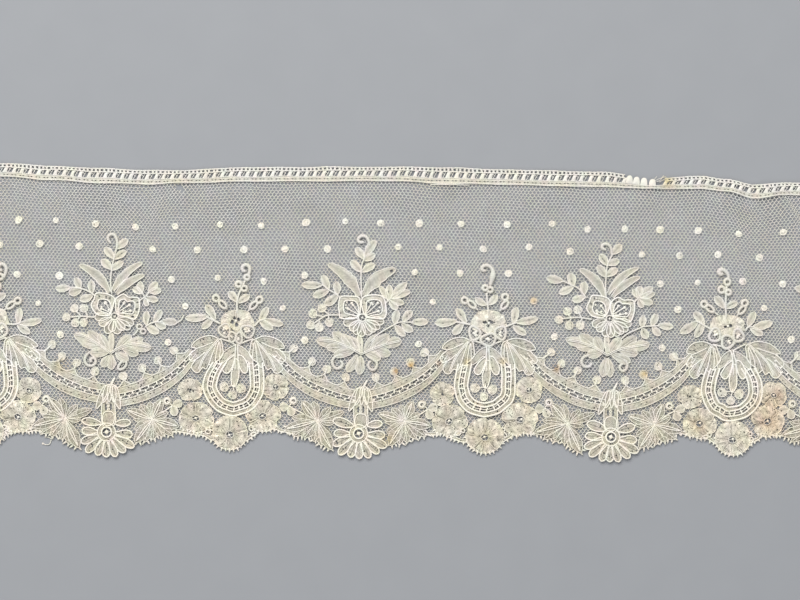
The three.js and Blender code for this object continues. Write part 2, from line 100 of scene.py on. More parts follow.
# Pansy sprigs, one chart for each, from the middle of its pansy. A hook's and a curl's rows are x, y, half thickness;
# a leaf's, blade's, lobe's and bud's are base, tip, width and, for the first two, bend.
SPRIGS = [
    dict(pansy=1,
         hook=[(1.6, -63, 0.95), (3.2, -68.4, 1.1), (3.6, -73, 1.35), (2.6, -78.4, 1.5), (-0.1, -81.2, 1.55), (-3.4, -81, 1.5), (-5.7, -78.6, 1.4), (-5.1, -75.4, 1.3), (-2.9, -72.2, 1.0)],
         stems=[[(-2.4, -22), (-3.5, -33), (-2.7, -41), (-1.4, -49), (-0.1, -55.6), (1.6, -63), (2.8, -66.6)], [(-43.5, -28.6), (-33, -27.4), (-25, -24.4), (-19, -20)],
                [(-19, 1.6), (-25, 1.2), (-33, 0.2), (-43, 1)], [(-26, 1), (-28.4, -4.4)], [(-33.4, 0.2), (-36.8, -3.8)], [(-34, 0.4), (-36.4, 4)], [(-26, 1.2), (-28.8, 3.6)],
                [(24, -14.4), (28, -16.4), (31, -18.2)], [(31, -18), (28.2, -23)], [(31, -18), (35.4, -23.6)], [(19.3, 19.9), (22, 16.6), (24.2, 13.4)],
                [(31, 11.8), (34, 9.2), (40, 6.8), (48, 6.6)], [(62, 7.6), (67, 4.8), (69.2, 0.6)]],
         leaves=[(3.4, -67, 14.4, -75.6, 8.2, 0.5), (-0.1, -57, -8.9, -67.8, 8.2, -0.6), (0.8, -56.6, 12.6, -64.2, 7.8, 0.6), (-2.5, -46.2, -12.4, -55.4, 8.2, -0.6),
                 (-2, -45.4, 9.5, -53.4, 7.8, 0.6), (-43.5, -28.6, -58.4, -27.2, 8.6, 0.5), (-33.6, -27.6, -38.8, -38, 8.8, -0.5), (-32.6, -27.4, -44.4, -23, 9.2, 0.5),
                 (-22.2, -22.4, -22.4, -35, 8.2, 0.4), (-21.4, -20.4, -34, -15.6, 8.8, 0.5), (28, -21.8, 18.8, -27.2, 8, -0.5), (27.8, -22.4, 26.2, -33.6, 8.2, 0.5),
                 (34.6, -23.4, 43.8, -33.2, 8.4, 0.6), (34.6, -23.2, 47.2, -24.4, 8.2, 0.5), (31.6, -18, 44.2, -15.4, 8.4, -0.5), (30.8, -17.2, 34.1, -9.4, 7.0, -0.3),
                 (32, 9.6, 33, -4.6, 7.8, 0.5), (40, 6.8, 47.4, -4.6, 7.6, 0.5), (46, 6.6, 63, 7.8, 7.8, 0.4), (41, 7, 51.6, 12.5, 7.6, -0.4), (32.2, 10, 44.6, 17.6, 8.2, -0.5)],
         berries=[(-39.4, -7.2, 4.2), (-30, -7.8, 4.3), (-48.2, 1.2, 4.1), (-38.6, 7.2, 4.2), (-30.6, 6.8, 4.2)],
         rings=[(25.3, 11.6), (28.7, 15.7)],
         blades=[(-5, -23.2, -34, -51, 8.8, -4.2), (-0.8, -25.2, 28.3, -52.6, 7.4, 3.6), (2.6, -21.8, 30.2, -40.4, 7.4, 2.4)],
         lobes=[(-16, 28.6, -40.2, 18, 10), (-9, 32.4, -26.4, 15.2, 9.8), (-5, 34.8, -15, 18.4, 8.6), (-12, 31.6, -33.8, 26.8, 9.2), (-5, 36, -25, 36.4, 9.6),
                (14, 28.8, 37.2, 32.4, 10), (2, 35, 16.5, 20, 10), (9, 31.2, 28.5, 23.2, 9.8), (8, 33, 24, 39.2, 9.4), (1.2, 37, 14.2, 44.4, 9)],
         veins=[[(-3.4, 37.2), (-17, 27.6), (-30, 20.4), (-38.6, 18.2)], [(-3.4, 37.2), (5, 32.2), (15, 28.6), (26, 29.4), (35.6, 32)]],
         buds=[(-4.8, 39.8, -12.9, 50.8, 8), (-3.4, 38.8, -2.8, 54.2, 8)],
         curls=[[(-24.6, 36, 1.0), (-28.4, 39.6, 1.2), (-29.6, 44.4, 1.3), (-27.4, 48.8, 1.3), (-23.2, 50.2, 1.3), (-19.4, 48, 1.3), (-18.8, 44, 1.25), (-21.4, 42, 1.25), (-23.8, 43.6, 1.4), (-23.4, 46, 1.5)],
                [(8.8, 44.6, 1.0), (5.6, 48, 1.2), (3.4, 52, 1.25), (5.4, 54, 1.3), (9.6, 52.6, 1.25), (12, 49, 1.2), (11.8, 45.4, 1.0)]]),
    dict(pansy=0,
         hook=[(7.6, -71.4, 1.1), (7.2, -73.6, 1.25), (6.8, -76, 1.45), (4.4, -80.2, 1.55), (0.6, -81.6, 1.6), (-3, -80, 1.6), (-4.1, -77.2, 1.5), (-1.9, -74.9, 1.45), (1.4, -75.1, 1.2)],
         stems=[[(-0.4, -20), (-0.9, -40), (0, -52), (1.6, -58), (3.4, -62.6)], [(-39.6, -32.3), (-33.4, -28.1), (-28.8, -25.3), (-23, -20.7), (-20, -18)],
                [(-21, -2.2), (-33.4, -2.2), (-38, -0.5), (-43, 2.8), (-48, 6)], [(-32, -2.2), (-37, -6)], [(-38, -0.5), (-46, -2)], [(-43, 2.8), (-42.6, 7)], [(-33.4, -2.2), (-33, 2.5)],
                [(23, -14), (26, -16.5), (29.5, -19.4)], [(9, 24), (17.6, 15.7), (31.7, 7.4), (38.3, 4.5), (52, 4.5)]],
         leaves=[(2.8, -61, 13.6, -77, 8.8, 0.5), (1.3, -58.4, -6.8, -69.6, 8.4, -0.6), (2.1, -56.5, 13.4, -63.2, 7.8, 0.6), (-1.2, -45.6, -11.8, -56.2, 8.2, -0.6),
                 (0, -45.4, 13, -53, 8, 0.6), (-39.6, -32.3, -60, -32.6, 8.8, 0.6), (-33, -28.1, -40, -42, 8.8, -0.6), (-33.4, -27.3, -48.8, -21.4, 8.8, 0.8),
                 (-24, -23.2, -25.2, -35.4, 8.4, 0.4), (-24, -23.2, -36.8, -12.8, 8.8, 0.6), (26.6, -16.8, 18, -30.4, 7.4, -0.6), (26.8, -16.8, 27.6, -32.8, 8.8, 0.5),
                 (29.2, -19, 44.4, -35, 9, 0.7), (29.5, -19.5, 47.8, -26, 8.8, 0.7), (28.4, -18.2, 41.6, -14.7, 8, -0.5), (27.6, -16.5, 36, -8.5, 7.8, -0.5),
                 (32.6, 6.5, 35.6, -7.8, 8.6, 0.5), (41, 3.6, 50, -6.3, 8, 0.5), (49.6, 4.6, 66.2, 4.9, 8.6, 0.4), (40, 6.0, 51, 13.8, 8.2, -0.5), (33.4, 7.8, 43.2, 18.6, 8.2, -0.5)],
         berries=[(-40, -9, 4.3), (-48, -3.6, 4.5), (-51.4, 7.6, 4.4), (-42.6, 9.6, 4.4), (-32.6, 4.8, 4.3)],
         rings=[],
         blades=[(-3, -21.4, -34.2, -52.6, 11, -4.6), (1.6, -22, 33.2, -48.2, 12.2, 4.4)],
         lobes=[(-20, 27, -45, 22, 10.4), (-12, 30, -29.4, 14.4, 10), (-7, 32.4, -19, 16.6, 9.4), (-3, 34, -12, 19, 8.4), (-14, 29, -35, 30.4, 9.6), (-7, 32.6, -28, 38.2, 9.4),
                (20, 27.4, 40, 23, 10.6), (2, 34.4, 14.8, 17, 10), (9, 31.6, 27, 17.6, 10.4), (11, 31, 29, 36.2, 9.8), (3, 34.6, 19, 42, 9.6)],
         veins=[[(-0.6, 36.4), (-12, 30), (-28, 24.2), (-43, 22.4)], [(-0.6, 36.4), (12, 31), (26, 25.8), (38, 23.3)]],
         buds=[(-4.4, 37.6, -15.2, 54.4, 8.8), (-1.4, 38.4, -2.8, 57.2, 8.4)],
         curls=[[(-19, 37.4, 1.1), (-25.4, 38.6, 1.25), (-29.2, 42.4, 1.35), (-29.2, 47.2, 1.4), (-25.8, 50.8, 1.4), (-21.2, 50.2, 1.4), (-19.2, 46.4, 1.3), (-21.2, 43.4, 1.1)],
                [(7, 39.6, 1.1), (11.6, 42.2, 1.2), (14.8, 45, 1.3), (14.6, 49.8, 1.4), (11.2, 52.4, 1.4), (7.2, 50.2, 1.3), (6.6, 46.2, 1.2), (8.8, 43.8, 1.0)]]),
    dict(pansy=1,
         hook=[(2.2, -62.6, 1.0), (2.2, -67.4, 1.2), (0.6, -71.6, 1.45), (-2.6, -74, 1.55), (-6.4, -73.4, 1.55), (-7.6, -71, 1.5), (-6.2, -69, 1.4), (-3.8, -68.2, 1.2)],
         stems=[[(-3, -21), (-3.8, -32), (-3.4, -42), (-2, -52.6), (1.4, -60), (3.4, -64)], [(-46.4, -36.8), (-37.6, -32.6), (-30.6, -29.2), (-25, -23), (-23, -20)],
                [(-17.4, 1.6), (-24, 0.4), (-30.6, -0.3), (-43.7, 0.7), (-47, 1.2)], [(-27.4, 0), (-30.4, -5)], [(-38, 0.2), (-41, -3.4)], [(-38, 0.4), (-39.6, 4)], [(-27, 0.2), (-28.8, 4.2)],
                [(24, -14), (27, -18), (29.4, -20)], [(12, 21), (18.2, 15.7), (30.4, 10), (36, 8.4), (50, 7.6)]],
         leaves=[(3.2, -63.6, 11.8, -73, 9, 0.3), (-2, -52.6, -9.6, -63.4, 8.8, -0.6), (-1.8, -52.8, 9.6, -57.2, 8.2, 0.6), (-3.8, -41.4, -12.6, -51.8, 8.8, -0.6),
                 (-3.2, -41.4, 8.6, -49, 8.8, 0.6), (-46, -36.8, -62.4, -40.2, 8.4, 0.5), (-36.2, -31.8, -40, -44.4, 9.2, -0.5), (-36, -31.2, -50.6, -24.4, 8.8, 0.5),
                 (-25, -23.4, -25.2, -36.2, 9, 0.4), (-24, -21, -37.4, -17.8, 8, 0.5), (28.8, -20, 23.4, -29, 8, -0.4), (29, -20.4, 31.6, -31.6, 8.6, 0.4),
                 (30.4, -20.6, 43.8, -31.4, 8.8, 0.5), (30.4, -20.2, 45.6, -24.8, 8.6, 0.5), (30.2, -19.2, 43.8, -15, 8.6, -0.4), (29.4, -18.6, 33.4, -11, 8, -0.3),
                 (33, 9.4, 34.6, -2.2, 8.2, 0.4), (42.8, 7.8, 47.8, -4, 8.4, 0.4), (48.6, 7.4, 63.6, 9.2, 8, 0.3), (43.4, 8.4, 51, 17, 8, -0.4), (33, 10.2, 38.6, 19.8, 8.6, -0.4)],
         berries=[(-31.4, -8.4, 4.4), (-42.2, -6.6, 4.3), (-40, 7.4, 4.4), (-28.8, 7.6, 4.4), (-50.2, 1.6, 4.2)],
         rings=[],
         blades=[(-5.6, -21.6, -30, -48, 8.8, -4.4), (-1.4, -24, 28.6, -50.4, 7.2, 3.8), (3.4, -20.8, 31, -40.6, 7.2, 2.8)],
         lobes=[(-18, 27, -43, 21.6, 10.2), (-11, 30, -30, 17, 10), (-6, 33, -14, 18.8, 9), (-13, 29.6, -32.8, 28.8, 9.6), (-6, 33.6, -22.4, 36.6, 9.6),
                (18, 29, 40, 25.8, 10.2), (1, 34.6, 11.8, 19.8, 9.8), (8, 31.6, 27, 19, 10.2), (10, 32, 28.8, 35.8, 9.8), (2, 35.6, 21.2, 43.2, 9.6)],
         veins=[[(-2, 37), (-13, 30.4), (-28, 24.4), (-41, 21.8)], [(-2, 37), (10, 31.4), (24, 28), (38.4, 26)]],
         buds=[(-3, 40, -7, 58.4, 9.4), (-1.2, 40, 1.4, 59.4, 8)],
         curls=[[(-20, 37, 1.2), (-25.6, 39.2, 1.4), (-27.6, 44, 1.45), (-24.8, 48.4, 1.45), (-19.8, 48.4, 1.4), (-17.4, 45.2, 1.2)],
                [(14.6, 41.4, 1.1), (18, 45.4, 1.25), (17.2, 50.6, 1.3), (13.4, 53, 1.3), (10.6, 50, 1.25), (11.8, 46.6, 1.1), (14, 46, 1.0)]]),
]
SPRIG_PETALS = [  # per sprig, the lobes of the pansy's four lower petals, two for each: tip from the eye, width
    [(-19.2, 1.4, 8.4), (-14.6, 8.6, 8.8), (-7.6, 17.4, 9.4), (-2.6, 16.2, 7.6), (3.8, 19, 9.2), (9.8, 14.6, 8), (15.2, 13.8, 7.8), (19.6, 8.8, 8.4)],
    [(-18.4, 6.0, 9), (-11.6, 12.6, 9), (-7.0, 16.8, 8.2), (-1.4, 19.4, 8.8), (8, 17.2, 9.2), (13.2, 14.2, 8.2), (17.8, 11.2, 8.0), (22.2, 4.8, 8.8)],
    [(-17.4, 7.2, 9), (-12, 13.2, 9.2), (-4.2, 19, 8.8), (2, 19.6, 8.6), (9, 18.6, 8.8), (13.8, 15.6, 8.2), (18.6, 13.0, 8.2), (22.2, 7.2, 8.8)],
]
PANSY = [  # per kind: outline and opening of the left petal, then of the right one, each starting at the eye; then the stamens
    ([(-2.2, -3.4), (-1.4, -10), (-2, -17.6), (-4.6, -20.8), (-12, -21.4), (-19, -21.2), (-22.4, -18.6), (-22.8, -10), (-22.8, -3), (-21.4, 0.4), (-14, 1.6), (-6, 0.8)],
     [(-3.6, -3.4), (-3.6, -9.6), (-5.4, -14.8), (-9.6, -17), (-16.4, -16.6), (-18, -13.6), (-18.2, -8), (-16.8, -4.2), (-10, -2.6), (-5, -1.8)],
     [(2.6, -3.6), (0.2, -10.6), (-0.2, -17.2), (2.2, -21), (9.2, -22), (18.8, -21.6), (23, -17.6), (24.6, -9.4), (23.8, -3.4), (21.2, 1.2), (13, 1.0), (6, -0.2)],
     [(4.0, -4.2), (4.4, -10.6), (4.9, -15.2), (9.2, -17.6), (16, -17.6), (19.6, -15), (20.2, -7.6), (18.2, -3.6), (11, -2.2), (5.6, -1.8)],
     [((-2.4, -3), (-10.4, -13.8)), ((-3, -2.5), (-14.8, -8.8)), ((2.6, -3), (9.3, -14.6)), ((3, -2.6), (15.8, -14.6)), ((3.4, -2), (16.2, -6.4))]),
    ([(-2, -4), (0, -11), (0.6, -17), (-3.6, -20.6), (-10, -21.8), (-17.6, -22.2), (-20, -17), (-22.6, -10.4), (-20.4, -5), (-16.4, -1.4), (-9, 0), (-5, -0.4)],
     [(-3.2, -4), (-3.4, -10), (-5.4, -14.6), (-9.6, -16.6), (-14.8, -16.4), (-16, -13), (-17, -9), (-14.4, -5), (-8.6, -2.8), (-5, -2.2)],
     [(2.4, -4), (1.4, -11), (2.4, -16.6), (5.6, -19.8), (10, -20.6), (14.4, -18), (19, -18.2), (24.4, -17), (25.4, -11), (24.6, -4), (21.4, 3), (18.6, 4), (12, 1.2), (6, 0)],
     [(4, -4.4), (4.6, -10), (6.2, -14.4), (9.8, -16.4), (13.6, -14), (18.6, -14.2), (21, -12), (20.8, -6.4), (18.4, -2), (15, -1.4), (10, -2), (5.6, -1.8)],
     [((-2.4, -3), (-8.2, -12.6)), ((-3, -2.5), (-12.6, -7)), ((2.6, -3), (9.8, -12)), ((3, -2.8), (15.4, -10.4)), ((3.4, -2), (16.2, -4.6))]),
]

# Medallion, from the horseshoe's centre; what stands over row -45 leans with the rose.
MED_LEAVES = [
    (-20.6, -63.2, -30, -77, 9.2, -0.6), (-28.6, -62.8, -51.2, -60.1, 9.8, 0.6), (-22.9, -61, -33.2, -50, 8.8, 0.6),
    (26.1, -61.6, 28.8, -78, 8.8, 0.5), (28.0, -62.4, 50.6, -67, 9, -0.6), (27.2, -60.6, 40.2, -52.2, 8.8, -0.6),
]
MED_MOVES = [  # per medallion, how far each of those leaves stands off: across, down, and its tip further: across, down
    [(0, 0), (0, -2), (0, -2), (4, 2.5), (3.5, 2.5), (2.5, 1.5)],
    [(0.6, -1.7), (2, -5.6), (0, -5.6), (-1, -1.2, 4.6, 1.5), (1.5, -3.6, -3.8, 9.6), (-2.4, -4.2)],
    [(0.9, 0), (0, -1.8), (0, -1.4), (1.8, -1.2), (1.8, -1.8), (0, 0)],
    [(-1.5, -4.2, -0.4, 3.8), (1, -6, 4.2, 9), (1, -9, 1.6, 6), (-3.8, -1.5, 4.6, 1.6), (-2.4, 0, -1.6, -1.2), (-3.2, -3, -0.4, 0)],
]
MED_STEMS = [[(-29.8, -62.8), (-26, -62.4), (-15, -60.9)], [(20, -59.3), (24, -61), (28.4, -62.4)]]
MED_TOP = [  # per medallion, over its rose: hook (x, y, half thickness), rings (x, y, radius, half thickness), leaves, stems, ears (ring, loop, foot each)
    dict(hook=[(14.6, -105.4, 1.1), (17, -110.6, 1.3), (17, -115.8, 1.45), (13.4, -119.4, 1.5), (9.8, -117.2, 1.45), (10, -113.8, 1.4), (12.6, -113, 1.2)],
         rings=[(11.6, -106.4, 2.5, 1.25), (9.2, -96.6, 2.7, 1.2), (3.6, -99.8, 2.7, 1.35)], leaves=[(1.8, -82.2, -7, -92.2, 8.4, -0.6), (5, -81.6, 17, -88.4, 8.6, 0.6)],
         stems=[[(3.2, -75.6), (2.4, -82), (3.6, -90), (5.8, -96)], [(8, -99), (9.8, -103)]],
         ears=[((-19, -85.8), (-12.4, -80), (-7.6, -75.2)), ((29.4, -82.6), (22.6, -78), (16, -73.4))]),
    dict(hook=[(11.8, -108.4, 1.1), (13.8, -112, 1.3), (13.8, -117, 1.45), (10.2, -120, 1.5), (6.8, -117.6, 1.45), (7, -114, 1.4), (9.6, -113.4, 1.2)],
         rings=[(11.4, -107.4, 2.5, 1.3), (8.8, -96.4, 2.7, 1.2), (3.2, -100, 2.7, 1.4)], leaves=[(1.6, -82.4, -7.2, -92.4, 8.4, -0.6), (3.2, -81.6, 13.4, -89, 8.6, 0.6)],
         stems=[[(1.8, -72), (1.8, -82), (3.4, -90), (5.6, -96)], [(7.6, -99), (9.6, -103.6)]],
         ears=[((-19.1, -86), (-12.4, -80), (-8, -75.3)), ((23.9, -84.8), (18.3, -79.2), (12.8, -73.7))]),
    dict(hook=[(4, -100.5, 1.0), (5.2, -105, 1.8), (6.3, -109.6, 2.5), (6.9, -113.6, 1.9), (5.5, -117.4, 1.5), (2, -120.2, 1.5), (-2.2, -120.6, 1.5), (-4.6, -117.8, 1.5), (-3.2, -115.2, 1.4), (-0.4, -115.4, 1.0)],
         rings=[(-1, -97.9, 2.5, 1.3), (4, -96.3, 2.5, 1.25)], leaves=[(0.8, -81.6, -10.6, -88.2, 7.6, 1.2), (2.4, -81.6, 10.6, -91.4, 8.6, -0.8)],
         stems=[[(2.6, -73.6), (1.4, -82), (0.8, -93)]],
         ears=[((-21.1, -85.5), (-14, -81.2), (-8, -76)), ((19, -89.1), (18.7, -81.4), (13.5, -75.2))]),
    dict(hook=[(3.2, -111.4, 1.2), (2.2, -116, 1.4), (-0.6, -119.6, 1.6), (-4.2, -120.6, 1.8), (-6.8, -118.4, 1.8), (-5.4, -115.6, 1.7), (-2.8, -116.4, 1.3)],
         rings=[(1.9, -107.8, 2.8, 1.25), (-3.9, -100.2, 2.9, 1.25), (2.7, -97.8, 2.6, 1.4)], leaves=[(-1.8, -81.6, -10.8, -93.2, 9, -0.8), (-0.2, -81.6, 11.6, -87.4, 8, 0.8)],
         stems=[[(0.4, -73), (0, -84), (0.4, -98), (1.2, -104)]],
         ears=[((-21.4, -85.6), (-15.8, -81.2), (-7.6, -75)), ((18.7, -86.8), (16.3, -79.8), (11.3, -74))]),
]
MED_CAP = [  # outline of the rose's cap
    (-16.4, -58.4), (-15.8, -64), (-12, -71.4), (-5.4, -75.4), (3.4, -76.8), (12, -75.2), (17, -71), (20.3, -64.4), (20.8, -58.8), (15, -59.6), (9.4, -56), (3, -51.4),
    (-3.2, -54.6), (-9, -59.4),
]
MED_CAP_SIZE = [(1.0, 0.95, 0.0), (0.88, 0.88, 0.9), (0.98, 0.92, 0.6), (0.97, 0.88, -0.8)]  # per medallion: how wide, how high, how far across
MED_OPEN = [  # per medallion, the rose's eyelets (x, y, half width, half height), half thickness of their rings, its eye, and the gaps round that
    ([(-11.2, -52.6, 4.5, 6.1), (14.4, -52.8, 4.2, 6.0), (2.6, -46.4, 6.0, 5.4)], 1.6, (3.2, -63.4), [(-4.2, -1.0, 1.8, 1.3), (3.6, -1.2, 2.3, 1.2), (-0.8, 2.8, 1.4, 1.1), (1.0, -2.6, 1.2, 0.9)]),
    ([(-10.6, -53.8, 5.4, 5.6), (13, -53.8, 6.0, 5.2), (-2.6, -47.8, 2.7, 4.8), (4.0, -46.4, 2.7, 4.6)], 1.35, (1.0, -63.8), [(-3.7, 0.8, 1.5, 1.7), (-1.2, -3.2, 1.5, 1.4), (3.2, -1.6, 1.7, 1.5), (0.8, 3.6, 1.5, 1.6)]),
    ([(-11.2, -52.5, 4.5, 6.2), (14.7, -52.9, 4.2, 6.2), (2.8, -46.5, 6.2, 5.4)], 1.6, (3.2, -63.2), [(-4.3, -1.0, 1.9, 1.3), (3.8, -1.0, 2.4, 1.2), (-1.0, 2.9, 1.4, 1.2), (0.8, -2.4, 1.3, 0.9)]),
    ([(-11.1, -55.2, 4.7, 5.4), (11.9, -54.2, 4.3, 4.9), (0.3, -47.9, 5.7, 5.1)], 1.75, (2.2, -64), [(2.8, -0.3, 1.6, 1.4), (-2.6, 0.8, 1.2, 1.0)]),
]
MED_WING = [  # outline of the left leaf wing, then its veins; the right one mirrors it
    (-16.4, -46), (-24, -48.4), (-33, -47), (-40, -42.4), (-43.2, -37.4), (-38.4, -35.4), (-43.4, -30.6), (-45, -25.8), (-42.4, -22.6), (-38.2, -24.6),
    (-42.4, -17.6), (-39.6, -12.4), (-35, -12), (-31.4, -16.6), (-27.6, -15.4), (-25, -19.4), (-21.4, -17), (-18.4, -22), (-14.6, -25), (-11, -30.4), (-11.6, -37), (-12.8, -43.6),
]
MED_WING_VEINS = [  # rows, and whether the vein is a bold one
    ([(-16.2, -44.8), (-23, -37), (-30.2, -26.6), (-35.4, -14)], 2), ([(-22, -42), (-31, -38), (-38.6, -35.4)], 1),
    ([(-29, -31.6), (-34, -27.6), (-38.4, -24.4)], 1), ([(-17.4, -43), (-21.6, -31), (-25.4, -19.4)], 1), ([(-15.6, -43), (-17.6, -31), (-18.6, -22.4)], 1),
    ([(-14.6, -42), (-14, -34), (-14.2, -26.6)], 1), ([(-19.8, -44.4), (-29, -43), (-39, -39.4)], 0), ([(-25, -37.4), (-34, -33.4), (-42, -29)], 0),
    ([(-26.4, -35), (-33, -29.6), (-42, -24.6)], 0), ([(-31.4, -25.4), (-36, -20), (-39.4, -14.6)], 0), ([(-19.4, -39.6), (-25.4, -29), (-30, -17.6)], 0),
    ([(-16.4, -40), (-19.6, -31), (-21.8, -19)], 0),
]
MED_BELL = [  # the bell's parts, outer ones first: outline
    [(1.2, -38.6), (-5, -36.4), (-10.6, -31.4), (-14.2, -25.6), (-13.6, -21), (-8.6, -23.6), (-3, -29), (0.8, -30.6)],
    [(3.6, -38.6), (9.6, -36.4), (15.2, -31.4), (18.6, -25.6), (18, -21), (13, -23.6), (7.6, -29), (4.2, -30.6)],
    [(0.6, -28.6), (-5, -25.6), (-9.4, -19.4), (-11.4, -15), (-8.4, -11.4), (-4.6, -12.6), (-1.4, -19)],
    [(4.4, -28.8), (8.4, -28.4), (12.2, -22.8), (14, -17.4), (12.8, -12), (9, -12), (5.8, -18)],
    [(1.2, -25), (-0.8, -17.4), (-2.7, -11), (-2.5, -5), (-1.2, 1.2), (1.6, 1.6), (4.0, -4), (5.0, -9.4), (4.8, -16), (3.8, -24.6)],
]
MED_BERRIES = [(-10, 2.5, 4.7), (7.3, 3.8, 4.8), (-1, 10.4, 4.3)]

FESTOON = [  # away from the drop, rise, half depth
    (6, 0.4, 9.0), (15, 2, 9.6), (31, 6.5, 10), (51, 15.5, 9.6), (67, 26, 8.4), (79, 38, 7.0), (86, 47, 5.6),
]
FESTOON_BERRIES = {  # to the left and to the right of a drop, and to the left of the second: away, rise
    -1: [(15.5, 22.4), (33.8, 31), (49, 39), (60, 50)],
    1: [(14.5, 22.4), (33.6, 29.4), (49.6, 38.2), (65, 48.2)],
    -2: [(15.5, 22.4), (33.8, 31), (49, 39), (67.4, 51.2)],
}

DAISY_PETALS = [  # tip from the daisy's centre, width
    (-24.8, -1.4, 7), (-26, 10.2, 7), (-20.6, 19.6, 7.2), (-9.4, 23.4, 7), (-0.6, 24.8, 7), (9.2, 24.8, 6.8),
    (19, 20.4, 7.2), (27.6, 14.6, 7.4), (26.2, 2.8, 7.6),
]
DAISY_TOP = [  # per drop, the two uppermost petals: base and tip from the daisy's centre, width
    [(-5.2, -8.6, -25.2, -11.4, 7.2), (8.0, -8.6, 24.2, -10.2, 6.8)], [(-4.4, -7.6, -24.8, -15.4, 8.4), (8.4, -7.8, 24.4, -9.8, 7.0)],
    [(-4.0, -7.0, -24.6, -13.4, 9.0), (6.4, -6.6, 24, -12, 8.4)], [(-4.4, -7.6, -24.8, -14.4, 8.2), (8.0, -7.8, 24.2, -10.4, 7.2)],
]

PALM_LEFT = [  # lobe tips from the leaf's centre: across, down, width
    (-16, -20, 10), (-4.5, -20, 9), (12.6, -13.6, 8), (27, -10.2, 8.6), (16, 1, 7), (14, 29, 12), (5, 25.6, 8.6), (-3.4, 21, 8.8),
    (-13.6, 17.6, 8.8), (-23.4, 15, 9), (-33, 8.4, 11), (-25, -3.6, 8.8),
]
PALM_RIGHT = [
    (8.7, -20.6, 10.6), (-2.7, -17, 8.6), (-13, -14.1, 8.6), (-26, -8.9, 10), (-19.5, -0.4, 8), (-18, 11, 8.4), (-16.3, 23.6, 12), (-6.5, 23.4, 8.8),
    (1.4, 20.6, 8.8), (10.8, 17.2, 8.8), (20.6, 15, 9), (27, 6, 11), (16, -8, 7.4),
]

# Soft low ridges: u, v, half length and half width in mm, lift in mm, turn in degrees.
RIPPLES = [
    (772, 204, 10, 5, 1.5, -62), (735, 196, 7, 4, 0.9, 75), (650, 196, 8, 4.5, 1.1, 70), (450, 190, 11, 4, 0.8, 12),
    (182, 194, 7, 4, 0.9, 80), (-72, 240, 20, 9, 1.3, 90), (916, 230, 13, 8, 1.4, 86), (545, 205, 12, 5, 0.7, 25),
    (300, 203, 14, 5, 0.6, -8),
]

# Age marks: u, v, radius, and how the colour is multiplied at the middle.
STAINS = [
    (396, 371, 5, (0.62, 0.44, 0.27)), (411, 365, 5, (0.80, 0.55, 0.28)), (556, 368, 6, (0.66, 0.52, 0.36)),
    (644, 374, 6, (0.80, 0.66, 0.46)), (533, 300, 6, (0.82, 0.68, 0.48)), (667, 181, 9, (0.92, 0.82, 0.58)),
    (768, 420, 22, (1.0, 0.86, 0.78)), (774, 395, 16, (1.0, 0.88, 0.80)), (700, 425, 16, (0.98, 0.92, 0.84)),
    (467, 362, 6, (1.0, 0.93, 0.72)), (503, 361, 6, (1.0, 0.94, 0.76)), (439, 363, 4, (0.96, 0.80, 0.68)), (388, 439, 9, (1.0, 0.90, 0.66)),
    (62, 366, 12, (0.94, 0.86, 0.70)), (484, 435, 18, (0.98, 0.94, 0.86)), (230, 340, 24, (0.995, 0.96, 0.90)),
]

# ------------------------------------------------------------------ small maths

rng = np.random.default_rng(20614)
grain = np.random.default_rng(4711)


def eased(rows, u, column):
    """A table's column at u, eased between its rows."""
    rows = np.asarray(rows, float)
    u = np.asarray(u, float)
    i = np.clip(np.searchsorted(rows[:, 0], u) - 1, 0, len(rows) - 2)
    t = np.clip((u - rows[i, 0]) / (rows[i + 1, 0] - rows[i, 0]), 0, 1)
    t = t * t * (3 - 2 * t)
    return rows[i, column] * (1 - t) + rows[i + 1, column] * t


def edge_v(u):
    return eased(EDGE, u, 1)


def at(u, v):
    """Chart to lace squares: x right, y towards the heading."""
    return np.array([np.asarray(u, float) - MID_U, MID_V - np.asarray(v, float)]).T


class Place:
    """Where a motif's own chart lies: its origin, a small turn and stretch, and its hand-made unevenness."""

    def __init__(self, u, v, turn=0.0, stretch=(1.0, 1.0), loose=0.35, lean=None):
        self.o, self.c, self.s = at(u, v), math.cos(turn), math.sin(turn)
        self.stretch, self.loose, self.lean = stretch, loose, lean

    def __call__(self, du, dv, loose=None):
        du, dv = float(du), float(dv)
        if self.lean is not None:
            k = min(1.0, max(0.0, (-30.0 - dv) / 25.0))
            du += self.lean * k
        x, y = du * self.stretch[0], -dv * self.stretch[1]
        p = self.o + np.array([self.c * x - self.s * y, self.s * x + self.c * y])
        return p + rng.normal(0, self.loose if loose is None else loose, 2)

    def path(self, rows, loose=None):
        return np.array([self(r[0], r[1], loose) for r in rows])


def spline(points, step=1.3, closed=False):
    """A smooth curve through the points, at even steps."""
    p = np.asarray(points, float)
    if closed:
        p = np.vstack([p[-1], p, p[0], p[1]])
    else:
        p = np.vstack([2 * p[0] - p[1], p, 2 * p[-1] - p[-2]])
    out = []
    t = np.linspace(0, 1, 12, endpoint=False)[:, None]
    for i in range(1, len(p) - 2):
        a, b, c, d = p[i - 1], p[i], p[i + 1], p[i + 2]
        out.append(0.5 * (2 * b + (c - a) * t + (2 * a - 5 * b + 4 * c - d) * t**2 + (3 * b - a - 3 * c + d) * t**3))
    out.append(p[-2][None])
    out = np.vstack(out)
    return even(out, step, closed)


def even(path, step, closed=False):
    seg = np.linalg.norm(np.diff(path, axis=0), axis=1)
    far = np.concatenate([[0], np.cumsum(seg)])
    n = max(3 if not closed else 5, int(round(far[-1] / step)) + 1)
    s = np.linspace(0, far[-1], n)
    out = np.stack([np.interp(s, far, path[:, k]) for k in range(path.shape[1])], axis=1)
    return out[:-1] if closed else out


